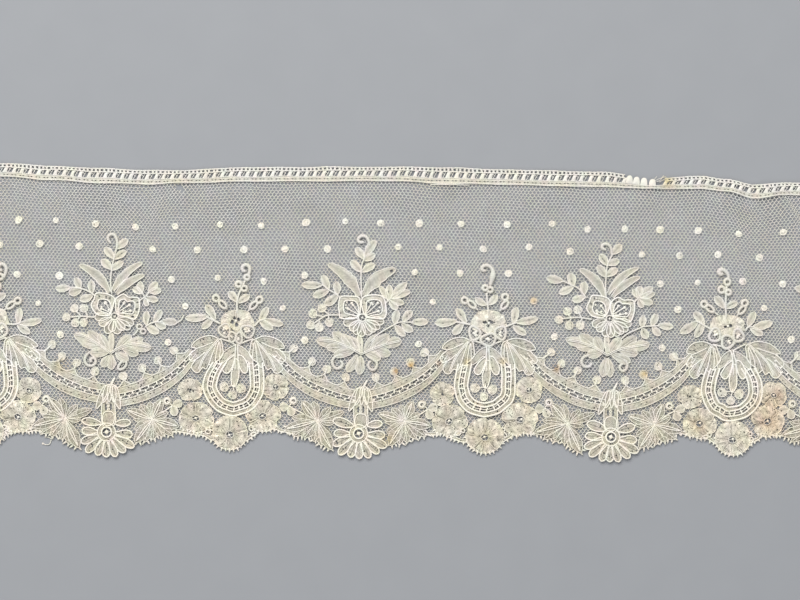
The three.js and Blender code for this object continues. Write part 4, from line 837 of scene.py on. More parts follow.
def medallion(bag, n, row):
    P = Place(*row["rose"], turn=rng.normal(0, 0.01), loose=0.3, lean=row["lean"] - 2.4)
    # top spray: hook, small rings, bud leaves, ear loops
    top = MED_TOP[n - 1]
    cord(bag, P, [(x, y, r * 1.15) for x, y, r in top["hook"]])
    for x, y, r, thick in top["rings"]:
        ring(bag, P(x, y, 0.15), r * 1.05, r * rng.uniform(0.95, 1.15), thick * 1.36, Z_CORD, 0.80, n=5)
    moves = np.array([tuple(m) + (0, 0) * (len(m) == 2) for m in MED_MOVES[n - 1]], float)
    sides_ = [[(x + k * m[0], y + k * m[1]) for (x, y), k in zip(rows, ks)]
              for rows, ks, m in ((MED_STEMS[0], (1, 0.8, 0), moves[:3].mean(0)), (MED_STEMS[1], (0, 0.8, 1), moves[3:].mean(0)))]
    for rows in sides_ + top["stems"]:
        stem(bag, rows, place=P, r=1.38, tint=0.84)
    own = [(a + x, b + y, c + x + tx, d + y + ty, w, bend) for (a, b, c, d, w, bend), (x, y, tx, ty) in zip(MED_LEAVES, moves)]
    for i, (a, b, c, d, w, bend) in enumerate(own + top["leaves"]):
        pad(bag, P(a, b, 0.15), P(c, d), w * rng.uniform(0.75, 0.84), bend, z=Z_FILL + 0.05 * (i % 3), tint=rng.uniform(1.12, 1.27), rim=0.54)
    for tip, loop, foot in top["ears"]:
        a, b, f = P(*tip, 0.15), P(*loop, 0.15), P(*foot, 0.1)
        d = (f - b) / np.hypot(*(f - b))
        ring(bag, a, 3.2, 2.9, 1.62, Z_CORD, 0.80, math.atan2(d[1], d[0]), n=5)
        ring(bag, b, 4.8, 2.5, 1.5, Z_CORD + 0.1, 0.80, math.atan2(d[1], d[0]), n=5)
        stem(bag, np.array([b + d * 4.0, (b + d * 4.0 + f) / 2, f]), 1.15, tint=0.84)
    # leaf wings
    for side in (1, -1):
        def M(x, y):
            return (x, y) if side > 0 else (3.4 - x * 1.08, y)
        o = smooth_poly(P, [M(*q) for q in MED_WING], 0.25, 1.1)
        whole = rng.random((len(o), 11)) > np.interp(np.arange(11), [3, 5, 9, 10], [0, 0.05, 0.05, 0])[None]
        patch(bag, o, Z_FILL + 0.2, 0.35, nr=11, centre=P(*M(-25, -32), 0), tint=0.92, keep=whole)
        tube(bag, o, 0.74, Z_CORD + 0.35, closed=True, tint=1.0, knot=0.1)
        for rows, bold in MED_WING_VEINS:
            q = spline(P.path([M(*r) for r in rows], 0.2), 1.3)
            nq = sides(q)
            if bold == 2:
                for off in (-0.62, 0.62):
                    tube(bag, q + nq * off, 0.60, Z_CORD + 0.5, tint=1.06, knot=0.1)
            else:
                tube(bag, q, 0.66 if bold else 0.40, Z_CORD + 0.3, tint=1.04 if bold else 1.25, knot=0.15, mat=CORD if bold else FILL)
    # rose: a solid cap over its eyelets
    c = P(2.6, -63.4, 0.1)
    wide, high, over = MED_CAP_SIZE[n - 1]
    o = smooth_poly(P, [(2.4 + (x - 2.4) * wide + over, -57 + (y + 57) * (high if y < -57 else 1)) for x, y in MED_CAP], 0.3, 1.1)
    g = np.random.default_rng(300 + n)

    def blob(centre, rx, ry):
        """An uneven opening: a point list, and the test for what lies in it."""
        p1, p2 = g.uniform(0, 6.28, 2)
        cc = P(*centre, 0.25)

        def size(phi):
            return 1 + 0.13 * np.sin(3 * phi + p1) + 0.09 * np.sin(2 * phi + p2)
        t = np.arange(22) * 2 * math.pi / 22
        pts = cc + np.column_stack([rx * np.cos(t), ry * np.sin(t)]) * size(t)[:, None]

        def inside(q):
            x, y = (q[..., 0] - cc[0]) / rx, (q[..., 1] - cc[1]) / ry
            return np.hypot(x, y) < size(np.arctan2(y, x))
        return cc, pts, inside
    eyelets, thick, hole, gaps = MED_OPEN[n - 1]
    opens = [blob((x, y), rx * 0.93, ry * 0.93) for x, y, rx, ry in eyelets]
    # the cap's cloth, then its petals over it
    na, nr = len(o), 12
    k = np.linspace(0, 1, nr + 1)
    xy = c[None, None] + (o - c)[:, None] * k[None, :, None]
    zz = Z_FILL + 0.1 + 0.4 * (1 - k**2)[None] + g.normal(0, 0.12, xy.shape[:2])
    mid = (xy[:, :-1] + np.roll(xy, -1, 0)[:, 1:]) / 2
    eye = P(*hole, 0.2)
    gaps = [(eye[0] + x, eye[1] - y, rx * 1.25, ry * 1.25) for x, y, rx, ry in gaps]
    limit = (*(o.min(0) + o.max(0)) / 2, *(o.max(0) - o.min(0)) / 2 * 1.05)
    keep = ~inside_gaps(mid, gaps)
    for _, _, inside in opens:
        keep &= ~inside(mid)
    i_, j_ = np.meshgrid(np.arange(na), np.arange(nr), indexing="ij")
    i_, j_ = i_[keep], j_[keep]
    i2 = (i_ + 1) % na
    quad = np.stack([i_ * (nr + 1) + j_, i_ * (nr + 1) + j_ + 1, i2 * (nr + 1) + j_ + 1, i2 * (nr + 1) + j_], axis=1)
    turn = np.sum(o[:, 0] * np.roll(o[:, 1], -1) - o[:, 1] * np.roll(o[:, 0], -1))
    bag.add(np.dstack([xy, zz]).reshape(-1, 3), quad if turn > 0 else quad[:, ::-1], None, BLOOM, 1.06, xy.reshape(-1, 2), 0.02)
    cover(o)
    for rank, (deg, L, spread) in enumerate(((-90, 9.0, 34), (196, 16.5, 26), (-14, 16.0, 24), (160, 16.8, 30), (22, 16.2, 30), (122, 15.6, 32), (62, 15.4, 32))):
        petal(bag, g, eye, deg, L, spread, 1.0, 1.5 + 0.5 * rank, 15, 21, 0.16, 0.02, 0.35, gaps=gaps, limit=limit, light=1.06)
    for cc, pts, _ in opens:
        far = np.linalg.norm(pts - cc, axis=1, keepdims=True)
        loop = cc + (pts - cc) * (1 + thick * 0.8 / far)
        tube(bag, even(np.vstack([loop, loop[:1]]), 1.4, True), thick * 0.92, Z_CORD + 0.3, n=6, closed=True, tint=0.78, flat=0.6, knot=0.10, pitch=3.0)
        cover(loop)
        openwork(bag, cc + (pts - cc) * 0.98, 0.70, 0.30, Z_CORD - 0.2)
        for _ in range(4 if far.mean() > 4 else 2):
            e = cc + (pts[int(g.integers(22))] - cc) * g.uniform(0.05, 0.6)
            disc(bag, e, g.uniform(0.9, 1.5), z=Z_CORD + 0.1, dome=1.1, na=9, nr=2, tint=1.02, mat=CORD)
    disc(bag, eye, 1.3, z=Z_FILL + 1.5, dome=0.7, na=10, nr=2, tint=1.0, mat=CORD)
    # horseshoe
    wob = rng.normal(0, 0.30, (17, 2))
    lines = {r: horseshoe_path(P, r, wob, HORSESHOE_IN[n - 1]) for r in (30.4, 26.1, 23.5, 20.9, 17.1)}
    for lo, hi in ((26.1, 30.4), (17.1, 20.9)):
        a, b = lines[lo], lines[hi]
        k = min(len(a), len(b))
        t = np.linspace(0, 1, k)
        ia = np.stack([np.interp(t, np.linspace(0, 1, len(a)), a[:, q]) for q in (0, 1)], axis=1)
        ib = np.stack([np.interp(t, np.linspace(0, 1, len(b)), b[:, q]) for q in (0, 1)], axis=1)
        kk = np.linspace(0, 1, 4)
        xy = ia[:, None] + (ib - ia)[:, None] * kk[None, :, None]
        zz = Z_FILL + 0.35 + 0.5 * np.sin(math.pi * kk)[None] + np.zeros(xy.shape[:2])
        far = np.linspace(0, k * 1.25, k)
        th = np.column_stack([np.repeat(far, 4), np.tile(kk * (hi - lo), k)])
        bag.add(np.dstack([xy, zz]).reshape(-1, 3), grid_faces(k, 4, flip=False), None, FILL, 0.90, th)
        cover(np.vstack([ia, ib[::-1]]))
    for r, w in ((30.4, 1.22), (26.1, 1.06), (20.9, 1.06), (17.1, 1.20)):
        tube(bag, lines[r], w, Z_CORD + 0.45, tint=1.03, knot=0.1)
    knotted_row(bag, lines[23.5], 2.5, Z_CORD + 0.25, 5.8, paired=True)
    # bell inside the horseshoe
    pad(bag, P(2.3, -41, 0.1), P(2.6, -24, 0.1), 4.6, 0, "lobe", z=Z_FILL, tint=0.98, slits=0.0)
    for rows in ([(-14.2, -45.8), (-6, -43.2), (1.0, -39.4)], [(18.2, -45.8), (10.6, -43.2), (3.6, -39.4)]):
        stem(bag, rows, 1.15, P, Z_CORD, tint=0.84)
    for i, rows in enumerate(MED_BELL):
        o = smooth_poly(P, rows, 0.15)
        patch(bag, o, Z_FILL + 0.05 * i, 0.3, nr=6, tint=1.04)
        tube(bag, o, 0.66 if i < 2 else 0.86, Z_CORD + 0.3, closed=True, tint=0.93 if i < 2 else 1.04, knot=0.12)
    for rows in ([(1.2, -40), (1.2, -34), (1.2, -27), (1.4, -15)], [(3.4, -40), (3.6, -34), (3.8, -27), (4.2, -15)]):
        stem(bag, rows, 0.72, P, Z_CORD + 0.7)
    stem(bag, [(0.6, -1), (-0.6, 7)], 0.7, P)
    stem(bag, [(-0.2, 1), (-6, 2)], 0.6, P)
    stem(bag, [(0.2, 2), (4, 3.2)], 0.6, P)
    for x, y, r in MED_BERRIES:
        berry(bag, P(x, y, 0.2), r)


PETALS = {  # per blossom of a medallion: where its eye is, then petals as direction in degrees, length, half spread
    "a": ((0.3, 0.2), [(244, 11.6, 46), (316, 11.8, 46), (172, 12.6, 44), (28, 12.4, 44), (100, 12.0, 44)]),
    "b": ((-1.0, 0.6), [(-75, 15.4, 46), (-160, 18.0, 44), (-8, 17.4, 42), (118, 18.0, 42), (52, 18.6, 38)]),
    "c": ((0.3, -1.6), [(-112, 17.0, 34), (-62, 17.2, 34), (196, 18.4, 36), (-12, 19.0, 36), (132, 20.4, 42), (47, 20.6, 42)]),
    "d": ((0.2, 0.0), [(-120, 17.2, 44), (-48, 17.4, 42), (14, 18.2, 40), (150, 18.8, 44), (80, 17.2, 40)]),
    "e": ((0.4, 0.0), [(-105, 13.4, 46), (-32, 13.2, 44), (180, 14.2, 46), (40, 13.4, 44), (110, 14.0, 44)]),
}


def inside_gaps(p, gaps):
    """Which points lie in one of the small round gaps."""
    out = np.zeros(p.shape[:-1], bool)
    for x, y, rx, ry in gaps:
        out |= np.hypot((p[..., 0] - x) / rx, (p[..., 1] - y) / ry) < 1
    return out


def petal(bag, g, hub, deg, L, spread, eye, rank, nk=15, nps=27, tip=0.30, pores=0.05, crest=0.55, gaps=(), limit=None, light=0.91, part=0.22, step=0.24):
    """One petal of mottled cloth, fanning out from an eye. Gives its outer edge."""
    psi = np.linspace(-1, 1, nps)
    k = np.linspace(0, 1, nk)
    phi = math.radians(spread) * g.uniform(1.0, 1.12)
    a = math.radians(deg + g.normal(0, 5)) + psi * phi
    f1, f2, p1, p2, p3 = g.uniform(3.5, 6), g.uniform(8, 13), *g.uniform(0, 6.28, 3)
    lump = 0.040 * np.sin(f1 * psi + p1) + 0.026 * np.sin(f2 * psi + p2) + g.normal(0, 0.012, nps)
    R = L * g.uniform(0.97, 1.04) * (1 - tip * np.abs(psi) ** 2.4) * (1 + lump)
    if limit is not None:                  # stays within the blossom's own outline
        cx, cy, hx, hy = limit
        for _ in range(3):
            far = np.hypot((hub[0] + R * np.cos(a) - cx) / hx, (hub[1] + R * np.sin(a) - cy) / hy)
            R = np.where(far > 1, R * (0.25 + 0.75 / far), R)
    r = eye * 0.92 + (R - eye * 0.92)[:, None] * k[None]
    x = hub[0] + r * np.cos(a)[:, None]
    y = hub[1] + r * np.sin(a)[:, None]
    fold = (np.sin(f1 * 1.3 * psi + p3) + 0.7 * np.sin(f2 * psi + p1))[:, None] * (k**0.7)[None]
    crown = (1 - np.abs(psi) ** 3)[:, None] * np.sin(np.clip(k * 0.86 + 0.12, 0, 1) * math.pi)[None]
    tier = 0.24 * rank + (step - 0.24) * rank * k[None]
    zz = Z_FILL - 0.2 + tier + crest * crown + 0.28 * fold + g.normal(0, 0.16, r.shape)
    zz[:, -1] = Z_FILL - 0.2 + (step - 0.02) * rank
    mottle = wander(x, y, int(g.integers(1000)), 1.0, 6.5)
    # painted light and shade: the tint is lighter on the fold ridges and darker in their troughs (0.10 * fold), and
    # darker on the petal's two sides where it meets its neighbours (part); it is also darker close to the eye, and the
    # per-petal tone and mottle vary at random
    shade = light + g.uniform(-0.11, 0.13) + 0.10 * fold + 0.16 * mottle - 0.14 * np.exp(-((k / 0.16) ** 2))[None]
    shade -= part * np.clip((np.abs(psi) - 0.70) / 0.20, 0, 1)[:, None] * (k > 0.1)[None]
    shade += 0.10 * (k > 0.86)[None]
    v = np.stack([x, y, zz], axis=-1).reshape(-1, 3)
    th = np.column_stack([r.ravel(), (psi[:, None] * phi * np.maximum(r, 3)).ravel()])
    mid = np.stack([(x[:-1, :-1] + x[1:, 1:]) / 2, (y[:-1, :-1] + y[1:, 1:]) / 2], axis=-1)
    bag.add(v, grid_faces(nps, nk, ~inside_gaps(mid, gaps), flip=True), None, BLOOM, shade.ravel(), th, pores, 0.15)
    edge = np.column_stack([x[:, -1], y[:, -1]])
    q = np.vstack([np.column_stack([x[0, 4::2], y[0, 4::2]]), edge[1:-1], np.column_stack([x[-1, 4::2], y[-1, 4::2]])[::-1]])
    zq = np.concatenate([zz[0, 4::2], zz[1:-1, -1], zz[-1, 4::2][::-1]]) + 0.15
    tube(bag, even(np.column_stack([q, zq]), 1.2), 0.46, n=4, tint=g.uniform(1.2, 1.4), mat=BLOOM, knot=0.2, pitch=2.0)
    cover(np.vstack([hub[None], edge]))
    return edge


def blossom(bag, c, w, h, kind, seed):
    """A soft pansy: uneven petals lying on each other round an open eye."""
    g = np.random.default_rng(seed)
    small = kind in "ae"
    (ex, ey), rows = PETALS[kind]
    hub = np.asarray(c, float) + [ex, ey] + g.normal(0, 0.4, 2)
    eye = (1.2 if kind == "a" else 2.8) if small else 3.5
    size = (w + h) / 2 / ((23.5 if kind == "a" else 25.5) if small else 33.0)
    nk, nps = (12, 21) if small else (15, 27)
    gaps = [(hub[0] + g.normal(0, 2.0), hub[1] + g.normal(0, 2.0), g.uniform(0.5, 1.0), g.uniform(0.6, 1.0)) for _ in range(4 if kind == "a" else 2)]
    limit = (c[0], c[1], w / 2 * 1.04, h / 2 * 1.04)
    # part=0.40 sets a stronger painted shade on each petal's sides, where the petals meet
    outline = [petal(bag, g, hub, deg, L * size * 1.04, spread, eye, rank, nk, nps, gaps=gaps, limit=limit, light=0.97, part=0.40, step=0.33) for rank, (deg, L, spread) in enumerate(rows)]
    # the outline as a whole, for the picots
    t = np.linspace(0, 2 * math.pi, 120, endpoint=False)
    best = np.full(120, 6.0)
    for e in outline:
        d = e - hub
        ta = np.unwrap(np.arctan2(d[:, 1], d[:, 0]))
        rr = np.hypot(d[:, 0], d[:, 1])
        for turn in (-4 * math.pi, -2 * math.pi, 0, 2 * math.pi):
            best = np.maximum(best, np.interp(t, ta + turn, rr, left=0, right=0))
    edge_outlines.append(hub + np.column_stack([best * np.cos(t), best * np.sin(t)]))
    if kind != "a":
        open_eye(bag, g, hub, eye, 1.1 if small else 1.25)


def open_eye(bag, g, hub, eye, bead, z=Z_FILL):
    """A corded oval, open round a bead that hangs on three or four threads."""
    tilt = g.uniform(-0.7, 0.7)
    wide, high = g.uniform(1.08, 1.24), g.uniform(0.84, 1.0)
    ring(bag, hub, eye * wide, eye * high, 0.44, z + 0.9, 0.86, tilt, 0.2)
    off = g.normal(0, 0.5, 2)
    arms = int(g.integers(3, 5))
    for i in range(arms):
        a = g.normal(0, 0.25) + math.pi / 4 + i * 2 * math.pi / arms
        x, y = math.cos(a) * wide * eye, math.sin(a) * high * eye
        d = np.array([x * math.cos(tilt) - y * math.sin(tilt), x * math.sin(tilt) + y * math.cos(tilt)])
        tube(bag, np.array([hub + off, hub + (d + off) * 0.55, hub + d]), 0.30, z + 0.75, n=4, cap=False)
    disc(bag, hub + off, bead, z=z + 0.75, dome=1.0, na=12, nr=3, tint=1.08, mat=CORD)


def knotted_row(bag, path, gap, z, pitch=5.0, tint=1.05, paired=False):
    """An open row between two cords: a winding thread, knotted to the one and the other cord in turn, or to both at once."""
    steps = np.concatenate([[0], np.cumsum(np.linalg.norm(np.diff(path, axis=0), axis=1))])
    nn = sides(path)
    gap = np.broadcast_to(gap, len(path))
    s, side = 1.5, 1
    pts = []
    while s < steps[-1] - 1:
        c = np.array([np.interp(s, steps, path[:, q]) for q in (0, 1)])
        n = np.array([np.interp(s, steps, nn[:, q]) for q in (0, 1)])
        h = float(np.interp(s, steps, gap))
        d = np.array([n[1], -n[0]]) * rng.normal(0, 0.7 if paired else 0.35)
        if paired:
            pts.append(c + n * rng.normal(0, 0.3))
            tube(bag, np.array([c - n * h - d, pts[-1], c + n * h + d]), [0.62, rng.uniform(1.05, 1.4), 0.62], z + 0.05, tint=tint, cap=False)
            s += pitch * rng.uniform(0.74, 1.26)
            continue
        pts.append(c + n * side * 0.7)
        tube(bag, np.array([c - n * side * 0.3 - d, c + n * side * 0.45 * h, c + n * side * h + d]), [0.8, 1.15, 0.8], z + 0.05, tint=tint, cap=False)
        s += pitch / 2 * rng.uniform(0.86, 1.14)
        side = -side
    if len(pts) > 3:
        tube(bag, spline(np.array(pts), 1.3), 0.46 if paired else 0.42, z - 0.05, tint=0.96, knot=0.22 if paired else 0.0, pitch=3.0)


def festoon(bag, drop, rose, ways, lift=0.0, berries=None):
    """One half of a band with its ladder row, vine and berries, from the drop to the rose."""
    u0, v0 = drop
    away = abs(rose[0] - u0)
    k = away / 126.0
    sink = (rose[1] - v0) - (-15.0)
    P = Place(u0, v0 - lift, loose=0.2)
    rows = [(ways * a * k, -(r - sink * (a / 86.0) * 0.8)) for a, r, _ in FESTOON]
    path = spline(P.path(rows, 0.15), 1.25)
    up = 1 if ways > 0 else -1
    far = np.linspace(0, 1, len(path))
    half = np.interp(far, np.linspace(0, 1, len(FESTOON)), [h for _, _, h in FESTOON])
    gap = 3.0 * np.interp(far, [0, 0.8, 1], [1, 1, 0.75])
    nn = sides(path)
    steps = np.arange(len(path)) * 1.25
    for sg in (1, -1):
        lo, hi = (gap, half) if sg * up > 0 else (-half, -gap)
        ribs = np.tile([0.96, 1.12, 0.94, 1.10, 0.92, 1.12, 0.96, 1.06], len(path))
        a, b = band(bag, path, lo, hi, Z_FILL, 0.55, rows=7, tint=ribs)
        inner, outer = (a, b) if sg * up > 0 else (b, a)
        tube(bag, inner, 0.62, Z_CORD + 0.15, tint=1.0, knot=0.15)
        tube(bag, outer, 0.55, Z_CORD, tint=0.90, knot=0.15)
    knotted_row(bag, path, gap, Z_CORD + 0.15, 8.8, 1.0)
    # scalloped top with a berry on each point
    br = np.array([P(ways * a * k, -(r - sink * (a / 86.0) * 0.8), 0.4) for a, r in FESTOON_BERRIES[berries or ways]])
    s_berry = [int(np.argmin(np.linalg.norm(path - b, axis=1))) for b in br]
    wave = np.zeros(len(path))
    for sb in s_berry:
        t = np.clip(np.abs(steps - steps[sb]) / 9.0, 0, 1)
        wave = np.maximum(wave, (1 - np.sin(t * math.pi / 2)) ** 1.1)
    rise = 0.3 + 6.0 * wave
    edge_line = path + nn * (up * (half + rise))[:, None]
    lo, hi = up * (half - 0.3), up * (half + rise)
    band(bag, path, np.minimum(lo, hi), np.maximum(lo, hi), Z_FILL, 0.2, rows=3, tint=1.05)
    tube(bag, even(edge_line, 1.3), 0.80, Z_CORD + 0.1, tint=0.92, knot=0.15)
    for b, sb in zip(br, s_berry):
        stem(bag, np.array([edge_line[sb] - (b - edge_line[sb]) * 0.3, (edge_line[sb] + b) / 2, b]), 1.2, tint=0.88)
        berry(bag, b, 4.2 * rng.uniform(0.94, 1.06))


def drop(bag, n, row):
    P = Place(*row["drop"], loose=0.2)
    # calyx hook, sepals
    cord(bag, P, [(1.8, -11.5, 0.9), (2.8, -14.2, 1.1), (4.2, -17, 1.1), (5.9, -20, 0.75)], Z_CORD + 0.7, 0.92)
    for i, (a, b, c_, d, w, bend) in enumerate((
            (-2.2, -12.6, -13.0, 11.6, 6.4, 0.8), (5.2, -12.6, 10.8, 11.6, 6.4, -0.8), (-0.4, -13.4, -5.8, 5.2, 5.6, 0),
            (3.4, -13.4, 5.4, 5.2, 5.6, 0), (1.5, -13.6, 0.0, 5.0, 5.0, 0))):
        leaf(bag, P(a, b, 0.1), P(c_, d), w, bend * 0.6, "lobe", z=Z_FILL + 0.55 + 0.06 * i, rim=0.78, dome=0.3, tint=0.86)
    # trumpet
    o = smooth_poly(P, [(-5.4, 2), (-7.2, 10), (-7.1, 17), (-6.6, 26), (-0.6, 29.4), (5.4, 26), (6.2, 17), (5.6, 9), (4.2, 2), (-0.5, -1)], 0.1)
    xy = o.mean(0) + (o - o.mean(0))[:, None] * np.linspace(0, 1, 12)[None, :, None]
    slits = [(*P(x, 9.4, 0), 0.95, 3.6) for x in (-3.2, 1.8)]
    patch(bag, o, Z_FILL + 0.25, 0.5, nr=11, keep=~inside_gaps((xy[:, :-1] + np.roll(xy, -1, 0)[:, 1:]) / 2, slits))
    for rows in ([(-3.8, 0), (-7, 6), (-7.6, 14), (-7.1, 24), (-4.8, 29)], [(3.6, 0), (5.9, 6), (6.2, 14), (6.6, 24), (4.4, 29)]):
        stem(bag, rows, 0.75, P, Z_CORD + 0.45)
    box = smooth_poly(P, rounded(-0.6, 20.8, 5.9, 7.1, 2.7, 24), 0.08)
    patch(bag, box, Z_FILL + 0.55, 0.5, nr=5, tint=0.94)
    tube(bag, box, 0.7, Z_CORD + 0.75, closed=True, tint=1.05, knot=0.1)
    for y in (5.2, 8.4, 11.6):
        ring(bag, P(-0.7, y, 0.2), 1.1, 1.0, 0.55, Z_CORD + 0.5, 1.0)
    # daisy
    D = Place(*row["daisy"], turn=rng.normal(0, 0.03), loose=0.35)
    for i, (x, y, w) in enumerate(DAISY_PETALS):
        L = math.hypot(x, y)
        leaf(bag, D(x / L * 8.4, y / L * 8.4, 0.1), D(x, y), w * rng.uniform(1.04, 1.14), 0, "petal", z=Z_FILL + 0.05 * (i % 2), rim=0.92, dome=0.3, tint=1.0)
    for a, b, x, y, w in DAISY_TOP[(n - 1) % 4]:
        leaf(bag, D(a, b, 0.1), D(x, y), w, 0, z=Z_FILL + 0.1, rim=0.92, dome=0.3, tint=1.0)
    c = D(0, 0, 0.1)
    disc(bag, c, 8.8, hole=5.0, z=Z_FILL + 0.35, dome=0.3, na=36, nr=3, tint=0.92)
    ring(bag, c, 8.9, 8.9, 0.75, Z_CORD + 0.4, 1.05)
    ring(bag, c, 5.0, 5.0, 1.05, Z_CORD + 0.75, 1.06)
    bead_in_ring(bag, c, 4.0, bead=0.50)


def palm(bag, centre, rows):
    """A palmate leaf: lobes of mottled cloth lying on each other, bold double veins in the main ones, fine side veins in all."""
    P = Place(*centre, turn=rng.normal(0, 0.03), loose=0.4)
    c = P(0, 0, 0.1)
    a = np.arange(168) * 2 * math.pi / 168
    R, web = np.full(168, 8.5), np.full(168, 7.0)
    for i, (x, y, w) in enumerate(sorted(rows, key=lambda r: r[2])):
        main = w > 9.5
        tip = P(x, y)
        L = float(np.hypot(*(tip - c)))
        d = (tip - c) / L
        e = np.array([-d[1], d[0]])
        bow = rng.normal(0, 0.5)
        z = Z_FILL + 0.10 * (i % 3) + (0.30 if main else 0)
        # edge=0.74 and groove=0.88 paint shade on each lobe's rim and middle groove, where the lobes meet
        pad(bag, c + d * 1.2, tip, w * 0.98, bow / 2, "frond", z, rng.uniform(0.64, 0.78), groove=0.88, edge=0.74, holes=0.10, rim=0.48)
        t = np.linspace(0.06 if main else 0.24, 0.93, max(6, int(L / 1.7)))
        q = c + d * (t * L)[:, None] + e * (bow * np.sin(math.pi * t))[:, None]
        for off in ((-1.15, 1.15) if main else (0,)):
            tube(bag, q + e * (off * np.sin(math.pi * np.clip(t * 1.05, 0, 1)))[:, None], 0.80 if main else 0.60, z + 0.9, tint=0.97 if main else 0.90, knot=0.15, pitch=2.2)
        for f in np.arange(0.40, 0.88, 5.2 / L):
            wide = w * 0.49 * float(profile("frond", f))
            for sg in (1, -1):
                s0, s1 = c + d * f * L, c + d * (f * L + 0.55 * wide) + e * sg * wide * 0.92
                tube(bag, np.array([s0, (s0 + s1) / 2 + d * 0.4, s1]), [0.36, 0.38, 0.30], z + 0.75, tint=0.84, cap=False)
        th = math.atan2(d[1], d[0])
        off = np.abs((a - th + math.pi) % (2 * math.pi) - math.pi)
        R = np.maximum(R, L * np.clip(1 - 0.40 * (off / (1.10 * w / L)) ** 1.7, 0, 1))
        web = np.maximum(web, 0.94 * L * np.clip(1 - 0.55 * (off / (1.25 * w / L)) ** 1.4, 0, 1))
    whole = rng.random((84, 6)) > np.array([0, 0, 0, 0.06, 0.08, 0.08])[None]
    patch(bag, c + np.column_stack([web * np.cos(a), web * np.sin(a)])[::2], Z_FILL - 0.12, 0.1, 0.66, centre=c, nr=6, keep=whole)
    edge_outlines.append(c + np.column_stack([R * np.cos(a), R * np.sin(a)]))
    disc(bag, c, 1.7, z=Z_FILL + 0.9, dome=0.6, na=12, nr=2, tint=1.0, mat=CORD)


def bud_sprig(bag, centre, ring_at, tips, root, hub):
    """Two small leaves and an open ring that spring from one point."""
    P = Place(*centre, loose=0.3)
    h, c = P(*hub, 0.1), P(*ring_at, 0.1)
    for a, b, r in ((P(*root, 0.1), h, 0.80), (h, c, 0.62)):
        stem(bag, np.array([a, (a + b) / 2 + rng.normal(0, 0.4, 2), b]), r)
    for x, y, w in tips:
        tip = P(x, y, 0.2)
        pad(bag, h + (tip - h) * 0.06, tip, w, rng.uniform(-0.4, 0.4), z=Z_FILL + 0.45, tint=rng.uniform(1.18, 1.30), rim=0.5)
    disc(bag, c, 4.4, hole=1.4, z=Z_FILL + 0.3, dome=0.9, na=16, nr=3, tint=1.25)
    ring(bag, c, 2.7, 2.5, 1.15, Z_CORD + 0.2, 0.93)


def dot(bag, c):
    """A darned spot: a small uneven pad of thread over a few meshes."""
    n = 12
    m = int(rng.integers(4, 6))
    ph = rng.uniform(0, 6.28)
    corner = rng.uniform(0.78, 1.25, m)
    size = rng.uniform(3.4, 4.0)

    def rad(a):
        k = (a - ph) / (2 * math.pi) * m % m
        i = np.floor(k).astype(int)
        f = k - i
        return size * (corner[i % m] * (1 - f) + corner[(i + 1) % m] * f) * (1 - 0.10 * np.sin(math.pi * f))
    disc(bag, c, rad, z=Z_NET + 0.3, dome=0.75, na=n, nr=3, rough=0.10, tint=rng.uniform(1.4, 1.6))
    a = np.arange(n) * 2 * math.pi / n
    R = rad(a)
    p = np.column_stack([c[0] + 0.86 * R * np.cos(a), c[1] + 0.86 * R * np.sin(a)])
    tube(bag, p, 0.66, Z_NET + 0.55, closed=True, tint=rng.uniform(0.98, 1.05), knot=0.15, pitch=2.2)
    for k in range(2):
        t = ph + k * math.pi / 2 + rng.normal(0, 0.3)
        d = np.array([math.cos(t), math.sin(t)])
        e = np.array([-d[1], d[0]]) * rng.normal(0, 0.8)
        reach = rng.uniform(2.4, 3.6)
        q = np.array([c - d * reach + e, c + e, c + d * reach + e])
        tube(bag, np.column_stack([q, [Z_NET + 0.6, Z_NET + 1.15, Z_NET + 0.6]]), 0.5, n=4, tint=1.02)


